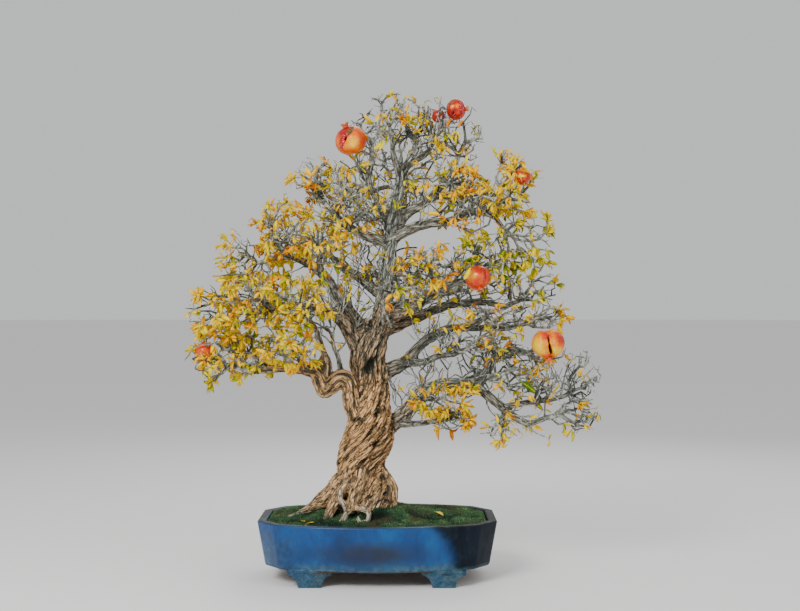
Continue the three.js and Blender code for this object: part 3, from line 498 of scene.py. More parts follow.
# Sprays: name, middle, reach, limb, share of the limb's length, how many leaves, and the middle of their
# autumn colour from green (0) to burnt orange (1).
sprays = [
    ("left_tip", (-0.26, -0.055, 0.363), (0.038, 0.045, 0.038), "leftLow", 1, 240, 0.46),
    ("left_low_outer", (-0.209, -0.015, 0.357), (0.042, 0.045, 0.035), "leftLow", 0.9, 260, 0.42),
    ("left_low_inner", (-0.137, -0.068, 0.372), (0.042, 0.045, 0.027), "leftLow", 0.78, 270, 0.46),
    ("left_mid_tip", (-0.259, -0.05, 0.432), (0.042, 0.05, 0.035), "leftMid", 1, 240, 0.47),
    ("left_mid_outer", (-0.196, -0.078, 0.451), (0.042, 0.04, 0.038), "leftMid", 0.85, 300, 0.47),
    ("left_mid_inner", (-0.12, -0.085, 0.445), (0.042, 0.035, 0.035), "leftKnee", 1, 270, 0.43),
    ("left_mid_back", (-0.193, 0.05, 0.437), (0.064, 0.045, 0.042), "leftMid", 0.7, 250, 0.42),
    ("left_high_tip", (-0.212, 0.005, 0.507), (0.042, 0.05, 0.038), "leftHigh", 0.9, 240, 0.48),
    ("left_high_top", (-0.158, -0.01, 0.562), (0.042, 0.05, 0.042), "leftHigh", 1, 250, 0.52),
    ("left_high_inner", (-0.088, -0.04, 0.541), (0.042, 0.04, 0.038), "leftHigh", 0.7, 210, 0.48),
    ("left_high_back", (-0.116, 0.085, 0.535), (0.064, 0.04, 0.048), "backLeft", 1, 200, 0.45),
    ("upper_left_tip", (-0.104, -0.02, 0.642), (0.029, 0.035, 0.038), "upperLeft", 1, 53, 0.6),
    ("upper_left_mid", (-0.052, -0.042, 0.622), (0.032, 0.035, 0.038), "upperLeft", 0.72, 71, 0.45),
    ("crown_left_top", (-0.013, -0.01, 0.716), (0.032, 0.03, 0.036), "crownLeft", 1, 36, 0.5),
    ("upper_left_back", (-0.056, 0.06, 0.629), (0.054, 0.04, 0.048), "backTop", 0.7, 82, 0.45),
    ("top_left", (0.017, -0.005, 0.742), (0.032, 0.03, 0.036), "topLeft", 1, 24, 0.5),
    ("top_mid", (0.056, 0.022, 0.735), (0.029, 0.03, 0.042), "topRight", 0.5, 24, 0.45),
    ("top_right", (0.097, 0.015, 0.724), (0.032, 0.03, 0.038), "topRight", 1, 29, 0.5),
    ("top_back", (0.044, 0.078, 0.681), (0.064, 0.045, 0.048), "backTop", 1, 61, 0.45),
    ("centre_left", (-0.02, -0.042, 0.59), (0.035, 0.03, 0.03), "upperLeft", 0.45, 36, 0.5),
    ("crown_right_top", (0.137, 0, 0.71), (0.032, 0.03, 0.036), "crownRight", 1, 27, 0.45),
    ("crown_right_mid", (0.124, -0.034, 0.638), (0.038, 0.03, 0.032), "crownRight", 0.7, 140, 0.5),
    ("right_high_tip", (0.209, -0.025, 0.622), (0.038, 0.04, 0.042), "rightHigh", 1, 190, 0.5),
    ("right_high_outer", (0.229, -0.02, 0.545), (0.045, 0.04, 0.042), "rightHigh", 0.9, 280, 0.33),
    ("right_high_inner", (0.155, -0.052, 0.596), (0.038, 0.03, 0.029), "rightHigh", 0.68, 130, 0.5),
    ("right_high_back", (0.153, 0.062, 0.613), (0.064, 0.04, 0.045), "crownRight", 0.55, 85, 0.42),
    ("right_mid_tip", (0.172, -0.038, 0.512), (0.035, 0.035, 0.028), "rightMid", 1, 150, 0.38),
    ("right_mid_front", (0.086, -0.07, 0.505), (0.042, 0.03, 0.032), "rightMid", 0.6, 94, 0.56),
    ("right_back_tip", (0.25, 0.03, 0.47), (0.042, 0.045, 0.035), "rightBack", 1, 48, 0.36),
    ("right_back_mid", (0.162, 0.084, 0.47), (0.064, 0.04, 0.038), "backRight", 1, 71, 0.42),
    ("centre_front", (0.039, -0.075, 0.469), (0.038, 0.03, 0.035), "leader", 0.22, 97, 0.5),
    ("centre_back", (0.02, 0.092, 0.5), (0.054, 0.04, 0.044), "backLeft", 0.3, 88, 0.45),
    ("right_low_tip", (0.262, -0.012, 0.424), (0.042, 0.045, 0.024), "rightLow", 1, 48, 0.5),
    ("right_low_mid", (0.187, -0.05, 0.422), (0.042, 0.035, 0.024), "rightLow", 0.8, 54, 0.5),
    ("sweep_top", (0.25, -0.002, 0.362), (0.048, 0.04, 0.028), "sweep", 1, 31, 0.55),
    ("right_low_fork", (0.15, -0.035, 0.383), (0.042, 0.035, 0.022), "rightLowFork", 1, 42, 0.5),
    ("sweep_mid", (0.205, -0.032, 0.325), (0.042, 0.04, 0.026), "sweep", 0.78, 42, 0.5),
    ("sweep_low_tip", (0.317, -0.028, 0.262), (0.035, 0.035, 0.024), "sweepLow", 1, 14, 0.45),
    ("sweep_far_tip", (0.333, -0.01, 0.318), (0.029, 0.035, 0.04), "sweepFar", 1, 8, 0.5),
    ("sweep_far_mid", (0.262, -0.045, 0.305), (0.042, 0.035, 0.026), "sweepFar", 0.5, 20, 0.45),
    ("sweep_front", (0.1, -0.048, 0.285), (0.042, 0.03, 0.022), "sweep", 0.4, 150, 0.49),
    ("sweep_front_low", (0.121, -0.03, 0.256), (0.028, 0.025, 0.016), "sweepTwig", 1, 82, 0.58),
    ("sweep_hang", (0.196, -0.042, 0.244), (0.018, 0.02, 0.024), "sweepLow", 0.4, 51, 0.45),
    ("sweep_back", (0.2, 0.058, 0.335), (0.064, 0.04, 0.042), "sweep", 0.6, 54, 0.45),
]

# Fruits: name, middle, radius, the way the dried crown points, limb, share of the limb's length.
fruits = [
    ("upper_left", (-0.042, -0.05, 0.699), 0.025, (-0.35, -0.15, 0.92), "crownLeft", 0.8),
    ("top", (0.126, -0.02, 0.753), 0.017, (0.97, -0.2, 0.02), "topRight", 0.85),
    ("top_back", (0.099, 0.012, 0.7465), 0.0112, (-0.5, 0.5, 0.7), "topRight", 0.95),
    ("right_high", (0.229, -0.058, 0.641), 0.014, (0.2, -0.6, -0.78), "rightHigh", 0.9),
    ("right_mid", (0.158, -0.075, 0.481), 0.02, (0.15, -0.4, -0.9), "rightMid", 0.85),
    ("right", (0.271, -0.052, 0.377), 0.026, (0.05, -0.12, -0.99), "rightLow", 0.88),
    ("left", (-0.269, -0.084, 0.366), 0.014, (0.6, -0.4, 0.7), "leftLow", 0.93),
]

tree = {
    "voxel": 0.0021,
    "routeStep": 0.006,
    "tubeRounds": 3,  # bevel rounds, so ten facets round a tube
    "kink": 0.0022,  # how far limbs wander from their routes
    "rootKink": 0.0035,
    "stalkKink": 0.001,
    "kinkLength": 0.035,
    "steady": 0.006,  # limbs thinner than this wander less
    "swelling": 0.10,  # knots, as a share of the radius
    "boleSwelling": 0.02,
    "swellingLength": 0.024,
    "smoothing": 5,
    "most": 196000,  # triangles
    "seeds": {"bole": 1, "limb": 3, "root": 40, "feeder": 60, "stalk": 120},
}

# Side branches from a limb to a spray, and the stalks of the fruits.
feeder = {
    "rootRadius": 0.0065,
    "rootShare": 0.8,
    "endRadius": 0.0042,
    "reachIn": 0.75,
    "shortest": 0.3,
    "bendAt": 0.45,
    "bend": 0.12,
}

stalk = {"radius": 0.0022, "reach": 0.93, "bend": 0.6}

# A root begins inside the bole: how far above where it shows, how far out from the axis, and how thick.
rootLead = {"rise": 0.035, "axisRise": 0.03, "inward": 0.5, "radius": 0.8}

bark = {
    "strands": 15,  # ropes that the bole is twisted from
    "twist": 23.0,  # radians a metre over the bole
    "twistLow": 0.125,  # the twist runs from here
    "twistHigh": 0.29,  # to here
    "twistSoft": 0.05,
    "twistRest": 5.0,
    "limbTwist": 6,
    "wander": 0.9,  # how unevenly the ropes lie
    "wanderScale": (22, 22, 9),
    "ropeSharpness": (0.42, 0.55),  # on the bole and elsewhere
    "depth": 0.09,  # of the grooves, as a share of the radius
    "unevenScale": (30, 30, 14),
    "cleft": 0.16,  # deep clefts that come and go along the grain, as a share of the radius
    "cleftScale": (64, 64, 12),
    "cleftWidth": 0.08,
    "cord": 0.0034,  # depth between the cords that each rope is made of
    "cordScale": (165, 165, 30),
    "cordWidth": 0.2,
    "limbStrand": 0.013,  # width of a rib on limbs and roots
    "limbRibs": (2, 7),
    "limbDepth": 0.13,
    "fibre": 0.0014,
    "fineScale": (210, 210, 60),
    "coarseScale": (90, 90, 34),
    "lumps": 0.003,
    "lumpScale": 28,
    "collar": 0.007,  # ribs fade out this near to where two limbs meet
    "collarCleft": (0.3, 0.7),  # share of a cleft that is left there, and what is added beyond
    "uneven": (0.75, 0.5),
    "ownGrain": 0.37,  # sets the grain of each limb apart
    # radii over which each kind of relief comes in
    "slim": (0.001, 0.012),
    "stout": (0.008, 0.03),
    "limbGrooves": (0.002, 0.008),
    "lumpy": (0.006, 0.03),
    "cordShares": (0.3, 0.7),  # of a cord's depth that come in with slim and with stout
}

# Painted shade on the bark: how light it is in a groove, how much lighter on a rib, how much the clefts,
# cords and hollow darken it, and how much the fine grain varies it.
ridgeToneAndShade = {"groove": 0.34, "rib": 0.66, "cleft": 0.85, "cord": (0.25, 0.3), "fine": 0.45, "hollow": 0.85}

# The dead hollow in the front of the bole. The sizes from "soft" on are shares of the hollow's own.
hollow = {
    "x": -0.014,
    "z": 0.341,
    "halfWidth": 0.0085,
    "halfHeight": 0.0135,
    "lean": 0.5,
    "depth": 0.012,
    "lipRise": 0.0018,
    "soft": (1.15, 0.5),
    "narrowing": 0.35,
    "lip": 1.35,
    "lipWidth": 0.25,
}

# How tan the bark is. Each limb starts at its own share and fades into grey along its run.
tanBark = {
    "starts": {"bole": 1, "leftLow": 0.9, "leftKnee": 0.6, "leftMid": 0.55, "rightLow": 0.22, "sweep": 0.3},
    "rootStart": 0.85,
    "elsewhere": 0.12,
    "crotchMore": 0.42,
    "crotch": (0.36, 0.385, 0.39, 0.47),  # heights
    "onward": {"leftLow": 0.15, "leftKnee": 0.06},  # how much further along the colour goes
    "run": (0.03, 0.17),
    "boleTop": (0.28, 0.4),
    "boleTopLess": 0.5,
    "boleFoot": (0.11, 0.17),
    "boleFootLess": 0.35,
    "rootFoot": (0.12, 0.098),
    "rootFootLess": 0.45,
    "thin": (0.0045, 0.0075),  # radii of the thin roots, which are palest
    "thinLess": 0.6,
    "thinLight": 0.4,
    # painted shade: a band over these heights where the bark is darker
    "shade": (0.27, 0.35, 0.4, 0.48),  # heights
    "shadeDark": 0.2,
}


def onRoute(route, t):
    # a smooth curve through the route's points
    place = min(max(t, 0), 1) * (len(route) - 1)
    index = min(int(place), len(route) - 2)
    share = place - index
    spots = [Vector(spot[:3]) for spot in route[max(index - 1, 0):index + 3]]
    if index == 0:
        spots.insert(0, 2 * spots[0] - spots[1])
    if index + 2 == len(route):
        spots.append(2 * spots[2] - spots[1])
    before, start, end, after = spots
    lead, trail = (end - start + start - before) / 2, (after - start) / 2
    square, cube = share * share, share ** 3
    point = (2 * cube - 3 * square + 1) * start + (cube - 2 * square + share) * lead
    point += (3 * square - 2 * cube) * end + (cube - square) * trail
    radius = route[index][3] + (route[index + 1][3] - route[index][3]) * share
    return point, radius


def headingAt(route, t, reach=0.01):
    return (onRoute(route, t + reach)[0] - onRoute(route, t - reach)[0]).normalized()


def routeLength(route):
    spots = [onRoute(route, step / 40)[0] for step in range(41)]
    return sum((b - a).length for a, b in zip(spots, spots[1:]))


def strandAlong(route, seed, kink=tree["kink"], swelling=tree["swelling"]):
    # points along a route that wander and swell a little, but keep both ends
    steps = max(3, round(routeLength(route) / tree["routeStep"]))
    strand = []
    for step in range(steps + 1):
        t = step / steps
        point, radius = onRoute(route, t)
        hold = min(1, 6 * t, 6 * (1 - t))
        spot = point / tree["kinkLength"]
        away = Vector([noise.noise(spot + Vector((seed, 19 * axis, 0))) for axis in range(3)])
        away *= min(1, radius / tree["steady"])
        swell = noise.noise(point / tree["swellingLength"] + Vector((0, seed, 0)))
        strand.append((point + away * kink * hold, radius * (1 + swelling * swell * hold)))
    return strand


def feederRoute(centre, reach, limb, along):
    # the side branch that leads from inside a limb to the edge of a spray
    start, radius = onRoute(limbs[limb], along)
    span = Vector(centre) - start
    depth = Vector([part / size for part, size in zip(span, reach)]).length
    stop = max(1 - feeder["reachIn"] / depth, feeder["shortest"])
    end = start + span * stop
    bend = headingAt(limbs[limb], along) * span.length * feeder["bend"]
    middle = start + span * stop * feeder["bendAt"] + bend
    startRadius = min(radius * feeder["rootShare"], feeder["rootRadius"])
    endRadius = min(startRadius, feeder["endRadius"])
    return [(*start, startRadius), (*middle, (startRadius + endRadius) / 2), (*end, endRadius)]


def stalkRoute(centre, radius, crownWay, limb, along):
    way = Vector(crownWay).normalized()
    start = onRoute(limbs[limb], along)[0]
    end = Vector(centre) - way * radius * stalk["reach"]
    bend = end - way * radius * stalk["bend"]
    return [(*spot, stalk["radius"]) for spot in (start, bend, end)]


def boleLead(spot):
    # a point inside the bole from which a root runs down into view
    x, y, z, radius = spot
    axisX, axisY = min(boleRoute, key=lambda point: abs(point[2] - z - rootLead["axisRise"]))[:2]
    inward = rootLead["inward"]
    lead = (axisX + inward * (x - axisX), axisY + inward * (y - axisY))
    return (*lead, z + rootLead["rise"], radius * rootLead["radius"])


def treeStrands():
    seeds = tree["seeds"]
    named = {"bole": strandAlong(boleRoute, seeds["bole"], 0, tree["boleSwelling"])}
    for index, (name, route) in enumerate(limbs.items()):
        named[name] = strandAlong(route, seeds["limb"] + index)
    for index, (name, route) in enumerate(roots.items()):
        named[name] = strandAlong([boleLead(route[0])] + route, seeds["root"] + index, tree["rootKink"])
    for index, (name, centre, reach, limb, along, *leafy) in enumerate(sprays):
        if along < 1:
            route = feederRoute(centre, reach, limb, along)
            named["feeder_" + name] = strandAlong(route, seeds["feeder"] + index)
    for name, *seat in fruits:
        named["stalk_" + name] = strandAlong(stalkRoute(*seat), seeds["stalk"], tree["stalkKink"])
    return {name: [(potMiddle + point, radius) for point, radius in strand] for name, strand in named.items()}


class Spans:
    # every short straight stretch of the strands, with a frame to measure turns round it
    def __init__(self, strands):
        rows = []
        for owner, (name, strand) in enumerate(strands.items()):
            side = Vector((1, 0, 0)) if name == "bole" else Vector((0.3, 0.9, 0.2))
            run = 0
            for (start, low), (end, high) in zip(strand, strand[1:]):
                heading = (end - start).normalized()
                side = (side - heading * side.dot(heading)).normalized()
                length = (end - start).length
                rows.append((*start, *heading, *side, *heading.cross(side), length, low, high, run, owner))
                run += length
        table = np.array(rows)
        self.start, self.heading, self.side, self.across = (table[:, k:k + 3] for k in (0, 3, 6, 9))
        self.length, self.low, self.high, self.run, self.owner = (table[:, k] for k in range(12, 17))
        self.names = list(strands)

    def measure(self, places, chunk=1200, near=0.07):
        # for each place its own stretch, the turn round it, the run along it and the nearest other limb
        found = {key: np.empty(len(places)) for key in ("turn", "run", "radius", "owner", "rival")}
        cells = np.floor(places / near).astype(int)
        order = np.lexsort((cells[:, 1], cells[:, 0], cells[:, 2]))
        for first in range(0, len(places), chunk):
            rows = order[first:first + chunk]
            part = places[rows]
            close = np.all((self.start > part.min(0) - near) & (self.start < part.max(0) + near), axis=1)
            offset = part[:, None, :] - self.start[close][None]
            along = np.clip(np.einsum("psk,sk->ps", offset, self.heading[close]), 0, self.length[close])
            across = offset - along[..., None] * self.heading[close][None]
            radius = self.low[close] + (self.high - self.low)[close] * along / self.length[close]
            gap = np.linalg.norm(across, axis=2) - radius
            best = gap.argmin(1)
            each = np.arange(len(part))
            own = self.owner[close][best]
            least = gap[each, best]
            gap[self.owner[close][None] == own[:, None]] = 1
            away = across[each, best]
            aside, before = (away * self.across[close][best]).sum(1), (away * self.side[close][best]).sum(1)
            found["turn"][rows] = np.arctan2(aside, before)
            found["run"][rows] = self.run[close][best] + along[each, best]
            found["radius"][rows] = radius[each, best]
            found["owner"][rows] = own
            found["rival"][rows] = gap.min(1) - least
        return found


def boleTwist(height):
    # the ropes turn fast over the bole and run straighter at its foot and head
    low, high, soft = (bark[key] for key in ("twistLow", "twistHigh", "twistSoft"))
    fast = smoothBand(height, low - soft, low + soft, high - soft, high + soft)
    return bark["twistRest"] + (bark["twist"] - bark["twistRest"]) * fast


# How far the ropes have turned at each height of the bole.
twistStep = 0.001
twistSteps = np.linspace(0, 0.45, 451)
twistTurns = np.concatenate([[0], np.cumsum(boleTwist(twistSteps[:-1]) * twistStep)])


def hollowShare(places, onBole):
    # how far in the hollow and how far on its lip each place lies
    height = places[:, 2]
    across = places[:, 0] - potMiddle.x - hollow["x"] - hollow["lean"] * (height - hollow["z"])
    upward = (height - hollow["z"]) / hollow["halfHeight"]
    inside = np.hypot(across / hollow["halfWidth"] * (1 + hollow["narrowing"] * upward), upward)
    atFront = onBole & (places[:, 1] < potMiddle.y)
    sink = np.where(atFront, smoothStep(inside, *hollow["soft"]), 0)
    lip = np.where(atFront, np.exp(-((inside - hollow["lip"]) / hollow["lipWidth"]) ** 2), 0)
    return sink, lip


def barkShape(places, spans):
    # how far the skin moves in or out at each place, and the values that colour it, with painted shade in the
    # grooves, clefts, cords and hollow
    found = spans.measure(places)
    onBole = found["owner"] == spans.names.index("bole")
    height = places[:, 2]
    twist = np.where(onBole, np.interp(height, twistSteps, twistTurns), found["run"] * bark["limbTwist"])
    turn = found["turn"] - twist
    radius = np.maximum(found["radius"], 0.001)
    run = np.where(onBole, height, found["run"] + found["owner"] * bark["ownGrain"])
    grain = np.stack([np.cos(turn) * radius, np.sin(turn) * radius, run], 1)
    wander = noiseAt(grain * bark["wanderScale"], 2)
    fine = noiseAt(grain * bark["fineScale"], 3)
    coarse = noiseAt(grain * bark["coarseScale"] + 7, 2)
    ribs = np.clip(np.round(radius * 2 * math.pi / bark["limbStrand"]), *bark["limbRibs"])
    phase = turn * np.where(onBole, bark["strands"], ribs) / (2 * math.pi) + bark["wander"] * wander
    rope = np.abs(np.sin(math.pi * phase)) ** np.where(onBole, *bark["ropeSharpness"])
    cleft = 1 - smoothStep(np.abs(noiseAt(grain * bark["cleftScale"] + 11, 1)), 0.0, bark["cleftWidth"])
    cord = 1 - smoothStep(np.abs(noiseAt(grain * bark["cordScale"] + 5, 1)), 0.0, bark["cordWidth"])
    shut = smoothStep(found["rival"], 0, bark["collar"])
    slim = smoothStep(radius, *bark["slim"])
    stout = smoothStep(radius, *bark["stout"])
    depth = np.where(onBole, bark["depth"], bark["limbDepth"] * smoothStep(radius, *bark["limbGrooves"]))
    least, more = bark["uneven"]
    uneven = least + more * noiseAt(grain * bark["unevenScale"] + 3, 2)
    move = -(1 - rope) * (depth * radius * shut) * uneven
    least, more = bark["collarCleft"]
    move -= cleft * bark["cleft"] * radius * stout * (least + more * shut)
    onSlim, onStout = bark["cordShares"]
    move -= cord * bark["cord"] * (onSlim * slim + onStout * stout)
    move += (fine + coarse) * bark["fibre"] * slim
    move += noiseAt(places * bark["lumpScale"], 2) * bark["lumps"] * smoothStep(radius, *bark["lumpy"])
    sink, lip = hollowShare(places, onBole)
    move = move * (1 - sink) - sink * hollow["depth"] + lip * hollow["lipRise"]
    # painted shade: the ridge tone is dark in the grooves, clefts, cords and hollow, and light on the ribs
    onSlim, onStout = ridgeToneAndShade["cord"]
    ridge = (ridgeToneAndShade["groove"] + ridgeToneAndShade["rib"] * rope) * (1 - ridgeToneAndShade["cleft"] * cleft * stout)
    ridge *= 1 - (onSlim + onStout * stout) * cord
    ridge = np.clip(ridge + ridgeToneAndShade["fine"] * fine, 0, 1) * (1 - ridgeToneAndShade["hollow"] * sink)
    return move, ridge, grain, found


def barkWarmth(places, found, names):
    # how tan the bark is, and how light, with a band of painted shade and paler thin roots
    height = places[:, 2]
    owner = found["owner"].astype(int)
    starts = {**dict.fromkeys(roots, tanBark["rootStart"]), **tanBark["starts"]}
    start = np.array([starts.get(name, 0) for name in names])[owner]
    crotch = smoothBand(height, *tanBark["crotch"])
    start = np.where(start > 0, start, tanBark["elsewhere"] + tanBark["crotchMore"] * crotch)
    onward = np.array([tanBark["onward"].get(name, 0) for name in names])[owner]
    fade = 1 - smoothStep(found["run"] - onward, *tanBark["run"])
    boleFade = 1 - tanBark["boleTopLess"] * smoothStep(height, *tanBark["boleTop"])
    boleFade -= tanBark["boleFootLess"] * (1 - smoothStep(height, *tanBark["boleFoot"]))
    fade = np.where(owner == names.index("bole"), boleFade, fade)
    isRoot = np.isin(owner, [names.index(name) for name in roots])
    fade = np.where(isRoot, 1 - tanBark["rootFootLess"] * smoothStep(height, *tanBark["rootFoot"]), fade)
    thin = (1 - smoothStep(found["radius"], *tanBark["thin"])) * isRoot
    # painted shade: the bark is darker over a band of heights, and the thin roots are paler
    light = 1 - tanBark["shadeDark"] * smoothBand(height, *tanBark["shade"]) + tanBark["thinLight"] * thin
    return start * fade * (1 - tanBark["thinLess"] * thin), light


def makeBarkMaterial():
    material, nodes, shader = newMaterial("ridgedBark", 0.85)
    grain = attribute(nodes, "grain", "Vector")
    stretch = {"Scale": (1, 1, 0.2)}
    stretched = addNode(nodes, "ShaderNodeMapping", None, stretch, {"Vector": grain}).outputs[0]
    fibres = grainNoise(nodes, stretched, 420, 5, 0.6)
    streaks = grainNoise(nodes, stretched, 130, 3)
    patches = grainNoise(nodes, objectPlace(nodes), 34, 3)
    crevice = grade(nodes, farFrom(nodes, streaks, 0.5), 0.0, 0.05)
    edges = {"feature": "DISTANCE_TO_EDGE"}
    chips = addNode(nodes, "ShaderNodeTexVoronoi", edges, {"Scale": 270}, {"Vector": stretched})
    chips = grade(nodes, chips.outputs["Distance"], 0.0, 0.16)
    # painted shade in the fine crevices and along the edges of the chips, and painted highlights on the
    # lighter chip middles
    tone = reckon(nodes, "MULTIPLY", attribute(nodes, "ridge"), grade(nodes, crevice, 0, 1, 0.66, 0.85))
    tone = reckon(nodes, "MULTIPLY", tone, grade(nodes, chips, 0, 1, 0.55, 1.08))
    tone = reckon(nodes, "ADD", tone, grade(nodes, fibres, 0.35, 0.7, 0, 0.2))
    tan = ramp(nodes, tone, [
        (0.0, (0.005, 0.005, 0.004)), (0.2, (0.026, 0.025, 0.017)), (0.4, (0.105, 0.078, 0.04)),
        (0.56, (0.29, 0.168, 0.072)), (0.74, (0.6, 0.33, 0.135)), (1.0, (0.9, 0.55, 0.27)),
    ])
    grey = ramp(nodes, tone, [
        (0.0, (0.007, 0.007, 0.006)), (0.22, (0.03, 0.033, 0.027)), (0.45, (0.095, 0.103, 0.086)),
        (0.72, (0.215, 0.23, 0.195)), (1.0, (0.5, 0.52, 0.46)),
    ])
    colour = blendColour(nodes, attribute(nodes, "warmth"), grey, tan)
    olive = blendColour(nodes, grade(nodes, patches, 0.5, 0.72, 0, 0.5), colour, (0.4, 0.4, 0.22), "MULTIPLY")
    nodes.links.new(blendColour(nodes, 0.35, colour, olive), shader.inputs["Base Color"])
    roughen(nodes, shader, fibres, 0.7, 0.98)
    under = relief(nodes, shader, crevice, 0.0012, 0.9)
    under = relief(nodes, shader, chips, 0.0012, 0.8, under)
    relief(nodes, shader, fibres, 0.001, 0.8, under)
    return material


def makeTree():
    strands = treeStrands()
    spans = Spans(strands)
    fused = applied(
        strandMesh(strands.values(), tree["tubeRounds"]),
        ("REMESH", {"mode": "VOXEL", "voxel_size": tree["voxel"]}),
        ("SMOOTH", {"factor": 0.5, "iterations": tree["smoothing"]}),
    )
    places = placesOf(fused)
    move = barkShape(places, spans)[0]
    setPlaces(fused, places + normalsOf(fused) * move[:, None])
    triangles = triangleCount(fused)
    print(f"tree skin: {triangles} triangles before it is thinned out")
    if triangles > tree["most"]:
        fused = applied(fused, ("DECIMATE", {"ratio": tree["most"] / triangles}))
    places = placesOf(fused)
    ridge, grain, found = barkShape(places, spans)[1:]
    warmth, light = barkWarmth(places, found, spans.names)
    setAttribute(fused, "grain", grain, "FLOAT_VECTOR")
    setAttribute(fused, "warmth", warmth)
    # the ridge attribute carries the bark's painted shade, with the band of painted shade from barkWarmth
    setAttribute(fused, "ridge", np.clip(ridge * light, 0, 1))
    finishPiece("twistedTree", fused, [makeBarkMaterial()], ["tree"])


# Sprays: from the cut end of its branch each one grows to many goals inside its own space.

growth = {
    "seed": (4001, 17),  # for the first spray, and added for each one after it
    "goals": 80,
    "fullness": 1.25,  # how far the twigs fill out past the sprays' plain sizes
    "stem": 0.5,  # share of the way from its seat to its middle that a spray's stem covers
    "shortStem": 0.016,
    "lead": 0.4,  # how far the stem keeps to the branch's heading
    "sunk": 0.004,
    "step": 0.013,
    "crook": 0.2,  # how angular the twigs are
    "lift": 0.1,
    "detour": 0.35,  # how much a long way round counts against a joint
    "shuffle": (0.7, 1.3),  # how mixed the order is in which near and far goals are reached
    "tipRadius": 0.00085,
    "tipTaper": 0.6,
    "share": 0.5,  # how fast twigs thicken towards the limb
    "least": 0.05,  # goals keep this far from the middle of the spray, and mostly out of its core
    "core": 0.30,
    "edge": 0.97,
    "spurs": 40,
    "spurLength": (0.005, 0.014),
    "margin": 0.0015,  # kept from the faces of the whole object's box
    "goalMargin": 0.003,
    "leafMargin": 0.005,
    "thick": 0.0016,  # twigs above this radius get more facets
    "most": 4000,  # joints
}

foliage = {
    "length": (0.012, 0.021),
    "width": 0.31,
    "stalkWidth": 0.044,
    "thickness": 0.014,
    "petiole": 0.13,
    "segments": (2, 4),  # across and along
    "bladeEnd": 0.985,
    "bulgeAt": 0.85,  # under one brings the widest part nearer to the stalk
    "bulge": 0.7,  # under one makes the blade rounder
    "crest": 4,
    "wave": 0.05,
    "waves": 7,  # radians along the blade
    "rolled": 0.2,
    "narrowed": 0.3,  # by folding
    "cluster": (3, 7),
    "copies": 150,  # small pieces are put together in lots of this many
    "spread": 0.95,
    "droop": 0.30,
    "tumble": 0.75,
    "outer": 0.5,  # leaves sit outside this share of the spray
    "clusterTones": 0.085,
    "leafTones": 0.07,
}

# One row for each leaf shape: bend, fold, curl and roll.
leafShapes = [
    (0.25, 0.25, 0.0, 0.0), (0.7, 0.35, 0.2, 1.0), (-0.3, 0.2, 0.5, -1.0),
    (0.5, 0.6, 0.9, 0.6), (1.1, 0.4, 1.2, -0.5), (0.1, 0.15, 0.3, 1.6),
]


def insideBox(point, margin=growth["margin"]):
    return all(low + margin < part < high - margin for part, low, high in zip(point, boxLow, boxHigh))


def drawGoal(chance):
    # a random place in a ball of radius one, with few in its core
    while True:
        spot = randomOffset(chance)
        if growth["least"] < spot.length <= 1 and spot.length > growth["core"] * chance.random():
            return spot * growth["edge"]


